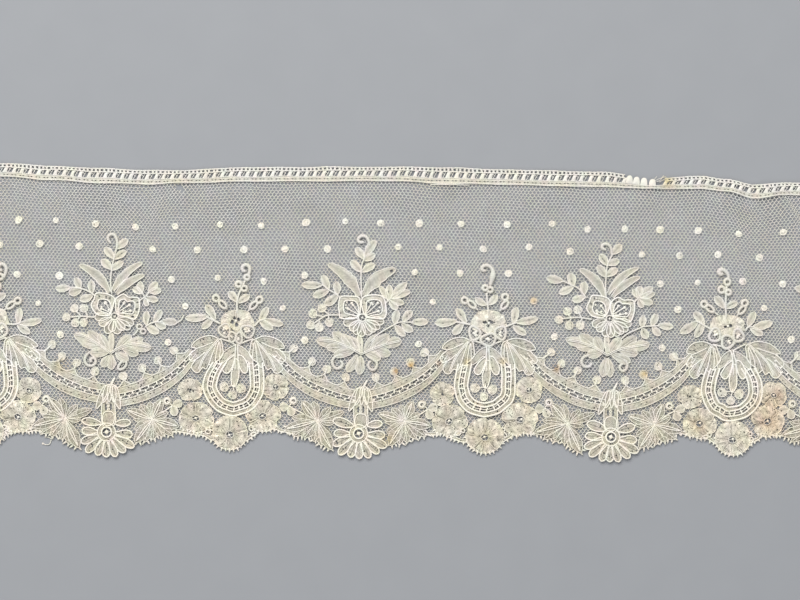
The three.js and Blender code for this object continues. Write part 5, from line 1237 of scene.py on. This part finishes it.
def heading(bag):
    """Ladder tape: a narrow tape with pin holes, an open row with slanting bars, and a close lower band."""
    u = np.arange(END_L - 1, END_R + 1.1, 1.6)
    top, low = eased(HEADING, u, 1), eased(HEADING, u, 2)
    depth = low - top
    torn = (625.0, 664.5)                  # here the upper tape has gone

    def line(k, wob=0.18, seed=1):
        g = np.random.default_rng(seed)
        v = top + depth * k + g.normal(0, wob, len(u)) * 0.6 + wander(u, u * 0, seed + 50, 0.3, 40)
        return at(u, v)
    for sel in (u < torn[0], u > torn[1]):
        tube(bag, line(0.06, seed=7)[sel], 0.74, Z_CORD - 0.2, tint=0.90, knot=0.16, pitch=4.05)
        tube(bag, line(0.265, seed=8)[sel], 0.80, Z_CORD - 0.2, tint=0.90, knot=0.12)
    for x in np.arange(END_L + 2, END_R - 1, 4.05):
        if torn[0] - 1 < x < torn[1] + 1:
            continue
        x = x + rng.normal(0, 0.25)
        t, d = float(eased(HEADING, x, 1)), float(eased(HEADING, x, 2) - eased(HEADING, x, 1))
        p = at(np.array([x, x + 0.2, x + rng.normal(0.4, 0.3)]), t + d * np.array([0.04, 0.16, 0.27]))
        tube(bag, p, [1.45, 1.55, 1.45], Z_CORD - 0.3, tint=rng.uniform(0.78, 0.88), cap=False, flat=0.5)
    # lower band, with a row of pin holes
    v = top[:, None] + depth[:, None] * np.linspace(0.67, 1.0, 6)[None]
    xy = np.stack([np.broadcast_to((u - MID_U)[:, None], v.shape), MID_V - v], axis=-1)
    zz = np.broadcast_to(Z_CORD - 0.5 + 0.35 * np.array([0, 1, 0.5, 0.5, 1, 0]), v.shape)
    keep = np.ones((len(u) - 1, 5), bool)
    keep[np.arange(len(u) - 1) * 2 % 5 < 2, 2] = False
    bag.add(np.dstack([xy, zz]).reshape(-1, 3), grid_faces(len(u), 6, keep, flip=True), None, FILL, np.tile([1.25, 1.38, 1.15, 1.15, 1.36, 1.2], len(u)),
            np.column_stack([np.repeat(u, 6), v.ravel()]), 0.0, 0.10)
    for k, r, seed in ((0.675, 0.62, 9), (0.985, 0.62, 10)):
        tube(bag, line(k, seed=seed), r, Z_CORD - 0.25, tint=0.84, knot=0.14)
    # second lower cord where the tape was mended
    sel = (u > 430) & (u < 470)
    tube(bag, line(1.08, 0.3, seed=29)[sel], 0.62, Z_CORD - 0.3, tint=0.90)
    # slanting bars and the fine threads crossing the holes
    for x in np.arange(END_L + 3, END_R - 3, 8.35):
        x = x + rng.normal(0, 0.3)
        t, d = float(eased(HEADING, x, 1)), float(eased(HEADING, x, 2) - eased(HEADING, x, 1))
        y0, y1 = t + 0.69 * d, t + 0.26 * d
        if torn[0] < x < torn[1]:
            continue
        h = y0 - y1
        w = rng.uniform(1.0, 1.2)
        out = [(x - 2.9 * w, y0), (x - 2.0 * w, y0 - 0.4 * h), (x - 0.9 * w, y1 + 0.15 * h), (x + 0.2, y1), (x + 2.6 * w, y1), (x + 2.3 * w, y1 + 0.2 * h),
               (x + 1.3 * w, y0 - 0.4 * h), (x + 0.8 * w, y0)]
        o = spline(np.array([at(a, b) for a, b in out]), 1.1, closed=True)
        patch(bag, o, Z_CORD - 0.35, 0.85, tint=rng.uniform(0.86, 0.97), nr=3, mat=CORD)
        hx = x + 4.15
        for a, b in (((hx - 2.3, y0), (hx + 1.7, y1)), ((hx - 2.4, y1), (hx + 0.2, (y0 + y1) / 2 + 0.4))):
            p, q = at(*a), at(*b)
            tube(bag, np.array([p, (p + q) / 2 + rng.normal(0, 0.25, 2), q]), 0.33, Z_CORD - 0.55, tint=0.95, cap=False)
    # what is left of the bars in the torn part: round knobs
    for x, y1 in ((629.4, 175.4), (636.4, 176.8), (643.8, 177.8), (652.2, 179.2)):
        y0 = float(eased(HEADING, x, 1)) + 0.70 * float(eased(HEADING, x, 2) - eased(HEADING, x, 1))
        h = max(y0 - y1, 3.0)
        out = [(x - 3.2, y0), (x - 3.3, y0 - 0.5 * h), (x - 2.0, y1 + 0.10 * h), (x + 0.2, y1), (x + 2.3, y1 + 0.14 * h), (x + 3.1, y0 - 0.45 * h), (x + 2.6, y0)]
        patch(bag, spline(np.array([at(a, b) for a, b in out]), 1.0, closed=True), Z_CORD - 0.4, 1.0, tint=0.90, nr=3, mat=CORD)
    # frayed ends in the torn part
    for rows in ([(654, 181.6), (657, 179.6), (661, 178.2), (665.6, 176.6)], [(656, 182), (659.6, 180.6), (662, 177.6), (663.4, 175.6)],
                 [(659, 182.4), (663, 180), (666.6, 179.4)], [(652, 181), (655, 178.4), (656.4, 176.6)]):
        q = spline(at([a for a, _ in rows], [b for _, b in rows]), 1.2)
        tube(bag, q, 0.36, Z_CORD - 0.3, tint=0.92)


def net(bags):
    """The tulle: six-sided meshes that follow the heading above and run straight below."""
    hidden = cover_map.copy()
    for _ in range(2):
        h = hidden
        hidden = h & np.roll(h, 1, 0) & np.roll(h, -1, 0) & np.roll(h, 1, 1) & np.roll(h, -1, 1)
    cols = int((END_R - END_L) / NET_A) + 6
    rows = int(292 / NET_H)
    b = NET_SIDE / 2
    R = NET_H - b
    j, i = np.meshgrid(np.arange(rows), np.arange(cols), indexing="ij")
    cu = END_L - 6 + (i + 0.5 * (j % 2)) * NET_A
    cv = j * NET_H

    def place(u, d):
        k = np.clip(d / 110.0, 0, 1)
        k = k * k * (3 - 2 * k)
        low = eased(HEADING, u, 2)
        v = low * (1 - k) + (179.5 + 0.0165 * u) * k + d - 1.2
        return u, v

    def points(sign, seed):
        g = np.random.default_rng(seed)
        u, v = place(cu, cv - sign * R)
        u = u + wander(cu, cv, 11, 0.7, 60) + g.normal(0, 0.16, u.shape)
        v = v + wander(cu, cv, 12, 0.6, 70) + g.normal(0, 0.13, v.shape)
        # the net is bunched along a crease under the heading
        a, c = np.array([784.0, 195.0]), np.array([800.0, 219.0])
        d = (c - a) / np.hypot(*(c - a))
        w = np.stack([u - a[0], v - a[1]], axis=-1)
        s = np.clip(w @ d, 0, np.hypot(*(c - a)))
        foot = a + s[..., None] * d
        off = np.stack([u, v], axis=-1) - foot
        far = np.linalg.norm(off, axis=-1)
        pull = 0.62 * np.exp(-((far / 6.5) ** 2))
        return u - off[..., 0] * pull, v - off[..., 1] * pull
    tu, tv = points(1, 3)
    bu, bv = points(-1, 4)
    z0 = Z_NET + np.random.default_rng(5).normal(0, 0.10, tu.shape)
    T = np.stack([tu - MID_U, MID_V - tv, z0], axis=-1)
    B = np.stack([bu - MID_U, MID_V - bv, z0 + 0.05], axis=-1)
    # cv grows downwards, so a mesh's upper neighbours are in the row before it
    e0, e1 = [], []
    for jj in range(1, rows):
        off = 0 if jj % 2 == 0 else 1
        for k in (off - 1, off):
            lo, hi = max(0, -k), min(cols, cols - k)
            ii = np.arange(lo, hi)
            e0.append(T[jj, ii])
            e1.append(B[jj - 1, ii + k])
    for jj in range(rows - 2):
        e0.append(B[jj])
        e1.append(T[jj + 2])
    e0, e1 = np.vstack(e0), np.vstack(e1)
    mid = (e0 + e1) / 2
    uu, vv = mid[:, 0] + MID_U, MID_V - mid[:, 1]
    ok = (uu > END_L) & (uu < END_R)
    ok &= vv < edge_v(uu) - 2.6
    ok &= vv > eased(HEADING, uu, 2) - 1.4
    ok &= ~(covered(e0[:, :2], hidden) & covered(e1[:, :2], hidden) & covered(mid[:, :2], hidden))
    for cu_, cv_, r in ((179, 187.5, 3.4), (182.5, 189.6, 2.0), (627, 189, 2.6)):
        ok &= np.hypot(uu - cu_, vv - cv_) > r
    e0, e1 = e0[ok], e1[ok]
    d = e1 - e0
    ln = np.linalg.norm(d, axis=1, keepdims=True)
    d = d / ln
    e0, e1 = e0 - d * 0.10, e1 + d * 0.10
    s = np.cross(d, [0, 0, 1.0])
    s /= np.linalg.norm(s, axis=1, keepdims=True) + 1e-9
    c = np.cross(s, d)
    g = np.random.default_rng(9)
    r = NET_R * g.uniform(0.86, 1.16, (len(e0), 1))
    ang = math.pi / 2 + np.arange(3) * 2 * math.pi / 3
    rings = []
    for p in (e0, e1):
        rings.append(np.stack([p + r * (math.cos(a) * s + 0.72 * math.sin(a) * c) for a in ang], axis=1))
    v = np.stack(rings, axis=1)              # edges, ends, 3, 3
    tint = np.repeat(g.uniform(0.90, 1.06, len(e0)), 6)
    base = np.array([[0, 3, 4, 1], [1, 4, 5, 2], [2, 5, 3, 0]])
    x = (e0[:, 0] + e1[:, 0]) / 2 + MID_U
    cut = np.linspace(END_L, END_R, len(bags) + 1)
    for k, bag in enumerate(bags):
        m = (x >= cut[k]) & (x < cut[k + 1] if k < len(bags) - 1 else x <= cut[k + 1])
        vv = v[m].reshape(-1, 3)
        q = (np.arange(m.sum())[:, None, None] * 6 + base[None]).reshape(-1, 4)
        bag.add(vv, q, None, NET, np.repeat(tint.reshape(-1, 6)[m], 1, axis=0).ravel(), None)
        bag.lines = (e0[m], e1[m])


NET_R = 0.385


def free(p, reach=(2.2, 4.0, 6.0), way=None):
    """Nothing lies on the chart a little way out from a point."""
    out = np.ones(len(p), bool)
    for r in reach:
        out &= ~covered(p + way * r)
    return out


def picots(bag):
    """Small thorns along the free lower edge, and the braid that closes the edge between motifs."""
    daisies = [r["daisy"] for r in REPEATS]
    for o in edge_outlines:
        c = o.mean(0)
        p = even(np.vstack([o, o[:1]]), 1.0, True)
        nn = -sides(p, True)
        if np.mean(np.sum((p - c) * nn, axis=1)) < 0:
            nn = -nn
        u, v = p[:, 0] + MID_U, MID_V - p[:, 1]
        ok = free(p, way=nn) & (v > edge_v(u) - 7.5)
        for du, dv in daisies:
            ok &= np.hypot(u - du, v - dv) > 25.5
        k = np.flatnonzero(ok)
        last = -99
        for i in k:
            if i - last < 3.0 + rng.uniform(0, 0.9):
                continue
            last = i
            d = nn[i] + rng.normal(0, 0.22, 2)
            d /= np.hypot(*d)
            L = rng.uniform(2.0, 3.2)
            q = np.array([p[i] - d * 0.9, p[i] + d * L * 0.45, p[i] + d * L])
            tube(bag, q, [1.35, 1.15, 0.62], Z_FILL + 0.05, tint=0.94, flat=0.6)
    # braid
    u = np.arange(END_L, END_R + 0.1, 0.9)
    v = edge_v(u) - 2.0
    p = at(u, v)
    nn = sides(p)
    open_ = ~covered(p) & ~covered(p + nn * 1.5)
    run = []
    for i in range(len(u) + 1):
        if i < len(u) and open_[i]:
            run.append(i)
            continue
        if len(run) > 3:
            a, b = max(0, run[0] - 2), min(len(u) - 1, run[-1] + 2)
            q = p[a:b + 1] + wander(u[a:b + 1], v[a:b + 1], 77, 0.35, 9)[:, None] * nn[a:b + 1]
            tube(bag, even(q, 1.3), 0.72, Z_FILL, knot=0.15)
            tube(bag, even(q + nn[a:b + 1] * 2.3, 1.4), 0.5, Z_FILL - 0.1, knot=0.15)
            band(bag, even(q, 1.2), 0.4, 2.1, Z_FILL - 0.35, 0.1, rows=2, tint=0.95)
            for i0 in np.arange(a + 2, b - 1, 4.4):
                i0 = int(i0)
                d = -nn[i0] + rng.normal(0, 0.25, 2)
                d /= np.hypot(*d)
                L = rng.uniform(2.2, 3.4)
                tube(bag, np.array([p[i0], p[i0] + d * L * 0.5, p[i0] + d * L]), [1.35, 1.15, 0.62], Z_FILL, tint=0.97, flat=0.6)
        run = []
    # short loose thread under the left leaf
    for rows, r in (([(52, 433), (52.2, 436), (51.4, 439.4), (50.6, 442.6), (48.6, 444.6), (45.4, 444.4), (43, 443.6)], 0.5),
                    ([(51.6, 438.6), (48.4, 437.2), (44.5, 437)], 0.4)):
        q = spline(at([a for a, _ in rows], [b for _, b in rows]), 1.0)
        z = np.interp(np.linspace(0, 1, len(q)), [0, 0.3, 1], [Z_FILL, 1.1, 0.6])
        tube(bag, np.column_stack([q, z]), r, tint=1.0)
    disc(bag, at(43, 443.6), 1.1, z=0.5, dome=1.1, na=10, nr=3, mat=CORD)


# ------------------------------------------------------------------ lift and meshes

def lift_of(x, y):
    """How far the cloth stands off the floor, in metres: the ridges of the solid, and a slight waviness."""
    z = np.zeros_like(x)
    for u, v, half, wide, lift, turn in RIPPLES:
        cx, cy = (u - MID_U) * SQ, (MID_V - v) * SQ
        c, s = math.cos(math.radians(turn)), math.sin(math.radians(turn))
        a = (c * (x - cx) + s * (y - cy)) / (half * 0.001)
        b = (-s * (x - cx) + c * (y - cy)) / (wide * 0.001)
        hit = (np.abs(a) < 1) & (np.abs(b) < 1)
        z += np.where(hit, lift * 0.001 * np.cos(np.clip(a, -1, 1) * math.pi / 2) ** 2 * np.cos(np.clip(b, -1, 1) * math.pi / 2) ** 2, 0)
    wavy = wander(x / SQ, y / SQ, 401, 1.0, 55)
    return z + 0.00016 * np.clip(wavy, 0, None)


def colour_of(x, y, tint):
    """Ivory with faint clouds of age, and the few marks of the chart."""
    u, v = x / SQ + MID_U, MID_V - y / SQ
    cloud = wander(u, v, 501, 1.0, 90)
    fine = wander(u, v, 502, 1.0, 16)
    rgb = np.ones((len(x), 3))
    warm = np.clip(0.5 + 0.35 * cloud + 0.18 * fine, 0, 1)[:, None]
    rgb *= (1 - warm) * np.array([1.0, 1.0, 1.0]) + warm * np.array([0.99, 0.97, 0.925])
    pink, gold = wander(u, v, 503, 1.0, 17)[:, None], wander(u, v, 504, 1.0, 21)[:, None]
    low = np.clip((v - 360) / 34, 0, 1)
    rgb *= 1 + (low * low * (3 - 2 * low))[:, None] * np.array([0.0, -0.02, -0.065])
    rgb *= 1 + pink * np.array([0.014, -0.016, 0.004]) + gold * np.array([0.006, 0.0, -0.028])
    for su, sv, r, mul in STAINS:
        k = np.exp(-((u - su) ** 2 + (v - sv) ** 2) / (0.5 * r * r))[:, None]
        rgb *= 1 - k * (1 - np.array(mul))
    return rgb * tint[:, None]


def make(bag, name, materials):
    v = np.vstack(bag.v)
    tint = np.concatenate(bag.tint)
    thread = np.vstack(bag.thread)
    q = np.vstack(bag.quads) if bag.quads else np.zeros((0, 4), int)
    t = np.vstack(bag.tris) if bag.tris else np.zeros((0, 3), int)
    mq = np.concatenate(bag.mq) if bag.mq else np.zeros(0, int)
    mt = np.concatenate(bag.mt) if bag.mt else np.zeros(0, int)
    # straight cut ends
    x0, x1 = END_L - MID_U, END_R - MID_U
    out = (v[:, 0] < x0) | (v[:, 0] > x1)
    if out.any():
        kq, kt = ~out[q].all(1), ~out[t].all(1)
        q, mq, t, mt = q[kq], mq[kq], t[kt], mt[kt]
        v[:, 0] = np.clip(v[:, 0], x0, x1)
    used = np.zeros(len(v), bool)
    used[q.ravel()] = True
    used[t.ravel()] = True
    new = np.cumsum(used) - 1
    v, tint, thread = v[used], tint[used], thread[used]
    q, t = new[q], new[t]
    xyz = v * SQ
    xyz[:, 2] = np.maximum(xyz[:, 2], 0.00005)
    xyz[:, 2] += lift_of(xyz[:, 0], xyz[:, 1])
    nq, nt = len(q), len(t)
    mesh = bpy.data.meshes.new(name)
    mesh.vertices.add(len(xyz))
    mesh.vertices.foreach_set("co", xyz.astype(np.float32).ravel())
    loops = np.concatenate([q.ravel(), t.ravel()])
    mesh.loops.add(len(loops))
    mesh.loops.foreach_set("vertex_index", loops.astype(np.int32))
    mesh.polygons.add(nq + nt)
    starts = np.concatenate([np.arange(nq) * 4, nq * 4 + np.arange(nt) * 3])
    mesh.polygons.foreach_set("loop_start", starts.astype(np.int32))
    local = np.concatenate([mq, mt])
    kinds = sorted(set(local.tolist()))
    remap = np.zeros(8, int)
    for i, k in enumerate(kinds):
        mesh.materials.append(materials[k])
        remap[k] = i
    mesh.polygons.foreach_set("material_index", remap[local].astype(np.int32))
    mesh.polygons.foreach_set("use_smooth", np.ones(nq + nt, bool))
    rgb = colour_of(xyz[:, 0], xyz[:, 1], tint)
    a = mesh.attributes.new("tint", "FLOAT_COLOR", "POINT")
    a.data.foreach_set("color", np.column_stack([rgb, np.ones(len(rgb))]).astype(np.float32).ravel())
    b = mesh.attributes.new("thread", "FLOAT_VECTOR", "POINT")
    b.data.foreach_set("vector", np.column_stack([thread, np.zeros(len(thread))]).astype(np.float32).ravel())
    uv = mesh.uv_layers.new(name="OFBake")
    lo, hi = xyz[:, :2].min(0), xyz[:, :2].max(0)
    size = float(max(hi - lo))
    flat = (xyz[:, :2] - lo) / size * 0.98 + 0.01
    uv.data.foreach_set("uv", flat[loops].astype(np.float32).ravel())
    mesh.update(calc_edges=True)
    mesh.validate()
    obj = bpy.data.objects.new(name, mesh)
    bpy.context.scene.collection.objects.link(obj)
    return obj


# ------------------------------------------------------------------ materials

def nodes_of(name):
    m = bpy.data.materials.new(name)
    m.use_nodes = True
    nt = m.node_tree
    bsdf = next(n for n in nt.nodes if n.type == "BSDF_PRINCIPLED")
    return m, nt, bsdf


def math_node(nt, op, a, b=None, c=None):
    n = nt.nodes.new("ShaderNodeMath")
    n.operation = op
    for i, v in enumerate((a, b, c)):
        if v is None:
            continue
        if isinstance(v, (int, float)):
            n.inputs[i].default_value = v
        else:
            nt.links.new(v, n.inputs[i])
    return n.outputs[0]


def mix_rgb(nt, kind, fac, a, b):
    n = nt.nodes.new("ShaderNodeMix")
    n.data_type = "RGBA"
    n.blend_type = kind
    n.clamp_result = False
    for s, v in zip((n.inputs[0], n.inputs[6], n.inputs[7]), (fac, a, b)):
        if isinstance(v, (int, float)):
            s.default_value = v
        elif isinstance(v, tuple):
            s.default_value = (*v, 1.0)
        else:
            nt.links.new(v, s)
    return n.outputs[2]


def thread_material(name, colour, rough, kind, bump=0.5, sheen=0.3):
    """Cotton thread: its colour comes from the tint of the piece, faint clouds, and the lie of its stitches."""
    m, nt, bsdf = nodes_of(name)
    tint = nt.nodes.new("ShaderNodeAttribute")
    tint.attribute_name = "tint"
    way = nt.nodes.new("ShaderNodeAttribute")
    way.attribute_name = "thread"
    sep = nt.nodes.new("ShaderNodeSeparateXYZ")
    nt.links.new(way.outputs["Vector"], sep.inputs[0])
    along, across = sep.outputs[0], sep.outputs[1]
    coord = nt.nodes.new("ShaderNodeTexCoord")

    def noise(scale, detail=3.0):
        n = nt.nodes.new("ShaderNodeTexNoise")
        n.inputs["Scale"].default_value = scale
        n.inputs["Detail"].default_value = detail
        nt.links.new(coord.outputs["Object"], n.inputs["Vector"])
        return n.outputs["Fac"]
    cloud, fuzz = noise(190.0), noise(2600.0, 2.0)
    if kind == "cord":
        ang = math_node(nt, "ADD", math_node(nt, "MULTIPLY", along, 2 * math.pi / 2.1), math_node(nt, "MULTIPLY", across, 2 * math.pi))
        stitch = math_node(nt, "MULTIPLY_ADD", math_node(nt, "SINE", ang), 0.5, 0.5)
        dark = 0.16
    elif kind == "cloth":
        a = math_node(nt, "SINE", math_node(nt, "MULTIPLY", along, 2 * math.pi / 2.3))
        b = math_node(nt, "SINE", math_node(nt, "MULTIPLY", across, 2 * math.pi / 1.9))
        stitch = math_node(nt, "MULTIPLY_ADD", math_node(nt, "MULTIPLY", a, b), 0.5, 0.5)
        dark = 0.24
    elif kind == "bloom":
        a = math_node(nt, "SINE", math_node(nt, "MULTIPLY", math_node(nt, "ADD", along, across), 2 * math.pi / 3.0))
        b = math_node(nt, "SINE", math_node(nt, "MULTIPLY", math_node(nt, "SUBTRACT", along, across), 2 * math.pi / 3.0))
        stitch = math_node(nt, "MULTIPLY_ADD", math_node(nt, "MULTIPLY", a, b), 0.5, 0.5)
        dark = 0.20
    else:
        stitch = fuzz
        dark = 0.16
    shade = math_node(nt, "MULTIPLY_ADD", stitch, dark, 1.0 - dark)
    shade = math_node(nt, "MULTIPLY", shade, math_node(nt, "MULTIPLY_ADD", cloud, 0.20, 0.90))
    shade = math_node(nt, "MULTIPLY", shade, math_node(nt, "MULTIPLY_ADD", fuzz, 0.16, 0.92))
    grey = nt.nodes.new("ShaderNodeCombineColor")
    for i in range(3):
        nt.links.new(shade, grey.inputs[i])
    col = mix_rgb(nt, "MULTIPLY", 1.0, tint.outputs["Color"], colour)
    col = mix_rgb(nt, "MULTIPLY", 1.0, col, grey.outputs[0])
    nt.links.new(col, bsdf.inputs["Base Color"])
    rr = math_node(nt, "MULTIPLY_ADD", fuzz, 0.2, rough - 0.1)
    nt.links.new(rr, bsdf.inputs["Roughness"])
    height = math_node(nt, "ADD", math_node(nt, "MULTIPLY", stitch, 0.7), math_node(nt, "MULTIPLY", fuzz, 0.5))
    bp = nt.nodes.new("ShaderNodeBump")
    bp.inputs["Strength"].default_value = bump
    bp.inputs["Distance"].default_value = 0.00012
    nt.links.new(height, bp.inputs["Height"])
    nt.links.new(bp.outputs[0], bsdf.inputs["Normal"])
    bsdf.inputs["Sheen Weight"].default_value = sheen
    bsdf.inputs["Sheen Roughness"].default_value = 0.5
    bsdf.inputs["Sheen Tint"].default_value = (1.0, 0.97, 0.9, 1.0)
    bsdf.inputs["Specular IOR Level"].default_value = 0.25
    return m


MATS = {
    FILL: thread_material("lace_cloth", (0.565, 0.55, 0.485), 0.9, "cloth", 0.8, 0.1),
    CORD: thread_material("lace_cord", (0.95, 0.93, 0.865), 0.75, "cord", 0.6, 0.12),
    NET: thread_material("tulle_thread", (0.90, 0.885, 0.835), 0.8, "net", 0.3, 0.1),
    BLOOM: thread_material("blossom_cloth", (0.69, 0.665, 0.585), 0.9, "bloom", 0.9, 0.15),
}

# ------------------------------------------------------------------ building

pieces = {}


def finished(name, bag, nodes):
    obj = make(bag, name, MATS)
    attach(obj, "root")
    if nodes:
        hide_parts(*nodes)
    pieces[name] = obj
    return obj


motif_bags = []
for n, row in enumerate(REPEATS, 1):
    b = Bag()
    sprig(b, n, row)
    motif_bags.append((f"sprig_lace_{n}", b, [f"sprig_{n}"], "lace"))
    b = Bag()
    medallion(b, n, row)
    motif_bags.append((f"medallion_lace_{n}", b, [f"medallion_{n}"], "lace"))
    b = Bag()
    nxt = REPEATS[n]["rose"] if n < len(REPEATS) else NEXT_ROSE
    festoon(b, row["drop"], row["rose"], -1, 3.6 if n == 1 else 0.0, -2 if n == 2 else None)
    festoon(b, row["drop"], nxt, 1)
    names = [f"festoon_{n}a", f"festoon_{n}b"]
    if n == 1:
        festoon(b, STUB_DROP, row["rose"], 1)
        names.append("festoon_0b")
    motif_bags.append((f"festoon_lace_{n}", b, names, "lace"))
    b = Bag()
    drop(b, n, row)
    motif_bags.append((f"drop_lace_{n}", b, [f"drop_{n}"], "lace"))
    b = Bag()
    du, dv = row["drop"]
    palm(b, (du - 43.8, dv + 20.8), PALM_LEFT)
    palm(b, (du + 43.2, dv + 21.6), PALM_RIGHT)
    mx, my = [(5.0, 0.0), (-0.4, -1.0), (5.5, -2.2), (2.0, -4.0)][(n - 1) % 4]
    bud_sprig(b, (du - 43.8 + mx, dv + 20.8 + my), (-24, -19), [(-37.6, -12.4, 8.6), (-24.6, -4, 7.8)], (-14 - mx, -6), (-28, -13.6))
    mx, my = [(-1.4, -1.2), (1.2, 0.0), (-1.0, -1.4), (0.0, 0.0)][(n - 1) % 4]
    bud_sprig(b, (du + 43.2 + mx, dv + 21.6 + my), (16, -17), [(31.2, -15.6, 8.0), (25, -2.6, 7.8)], (8, -4), (21.4, -12.4))
    motif_bags.append((f"leaf_lace_{n}", b, [f"leaf_{n}a", f"leaf_{n}b"], "bloom"))
    b = Bag()
    for k, (du, dv, w, h) in enumerate(BLOSSOMS[n - 1]):
        blossom(b, at(row["rose"][0] + du, row["rose"][1] + dv), w, h, "abcde"[k], 900 + 10 * n + k)
    for du, dv in ((-22, 44.6), (-26.5, 47.5), (17.4, 43.4), (19.4, 49)):
        c = at(row["rose"][0] + du, row["rose"][1] + dv) + rng.normal(0, 0.5, 2)
        ring(b, c, rng.uniform(2.2, 3.0), rng.uniform(1.7, 2.3), 0.95, Z_FILL + 0.3, 0.97, rng.uniform(0, 3), 0.15)
    motif_bags.append((f"blossom_lace_{n}", b, [f"blossom_{n}{k}" for k in "abcde"], "bloom"))

b_dots = Bag()
for u, v in DOTS:
    dot(b_dots, at(u + rng.normal(0, 0.4), v + rng.normal(0, 0.4)))
motif_bags.append(("dots", b_dots, [], "tulle"))

b_edge = Bag()
picots(b_edge)
motif_bags.append(("edge_picots", b_edge, [], "bloom"))

b_head = Bag()
heading(b_head)
motif_bags.append(("heading_ladder", b_head, ["heading_tape"], "tape"))

net_bags = [Bag(), Bag(), Bag()]
net(net_bags)

for name, bag, nodes, slot in motif_bags:
    finished(name, bag, nodes)
for k, bag in enumerate(net_bags, 1):
    obj = finished(f"tulle_net_{k}", bag, ["tulle_ground"])
    a, b = bag.lines

# ------------------------------------------------------------------ floor, light, camera

bpy.ops.mesh.primitive_plane_add(size=4.0, location=(0, 0, 0))
floor = bpy.context.active_object
floor.name = "floor"
fm, fnt, fb = nodes_of("floor_paper")
fn = fnt.nodes.new("ShaderNodeTexNoise")
fn.inputs["Scale"].default_value = 260.0
fr = fnt.nodes.new("ShaderNodeMix")
fr.data_type = "RGBA"
fr.inputs[6].default_value = (0.300, 0.312, 0.332, 1)
fr.inputs[7].default_value = (0.318, 0.330, 0.350, 1)
fnt.links.new(fn.outputs["Fac"], fr.inputs[0])
fnt.links.new(fr.outputs[2], fb.inputs["Base Color"])
fb.inputs["Roughness"].default_value = 0.9
fb.inputs["Specular IOR Level"].default_value = 0.15
floor.data.materials.append(fm)


def area(name, place, aim, size, watts, colour):
    d = bpy.data.lights.new(name, "AREA")
    d.shape = "RECTANGLE"
    d.size, d.size_y = size
    d.energy = watts
    d.color = colour
    o = bpy.data.objects.new(name, d)
    bpy.context.scene.collection.objects.link(o)
    from mathutils import Vector
    o.location = place
    o.rotation_euler = (Vector(aim) - Vector(place)).to_track_quat("-Z", "Y").to_euler()


area("key", (-0.30, 0.75, 1.0), (0, 0, 0), (1.2, 0.9), 21.0, (1.0, 0.98, 0.95))
area("fill", (0.45, -0.9, 0.9), (0, 0, 0), (1.2, 0.8), 4.5, (0.96, 0.98, 1.0))

world = bpy.data.worlds.new("studio")
bpy.context.scene.world = world
world.use_nodes = True
bg = next(n for n in world.node_tree.nodes if n.type == "BACKGROUND")
bg.inputs[0].default_value = (0.95, 0.97, 1.0, 1)
bg.inputs[1].default_value = 0.32

cam_data = bpy.data.cameras.new("camera")
cam_data.lens, cam_data.sensor_width = 85.0, 36.0
cam_data.clip_start, cam_data.clip_end = 0.01, 20.0
cam = bpy.data.objects.new("camera", cam_data)
bpy.context.scene.collection.objects.link(cam)
cam.location = ((400 - MID_U) * SQ, (MID_V - 300) * SQ, 800 * SQ * 85.0 / 36.0)
cam.rotation_euler = (0, 0, 0)
bpy.context.scene.camera = cam
bpy.context.scene.view_settings.view_transform = "Standard"

tris = {o.name: sum(len(p.vertices) - 2 for p in o.data.polygons) for o in pieces.values()}
print("triangles", sum(tris.values()), "most", max(tris.items(), key=lambda k: k[1]))

bpy.context.view_layer.update()
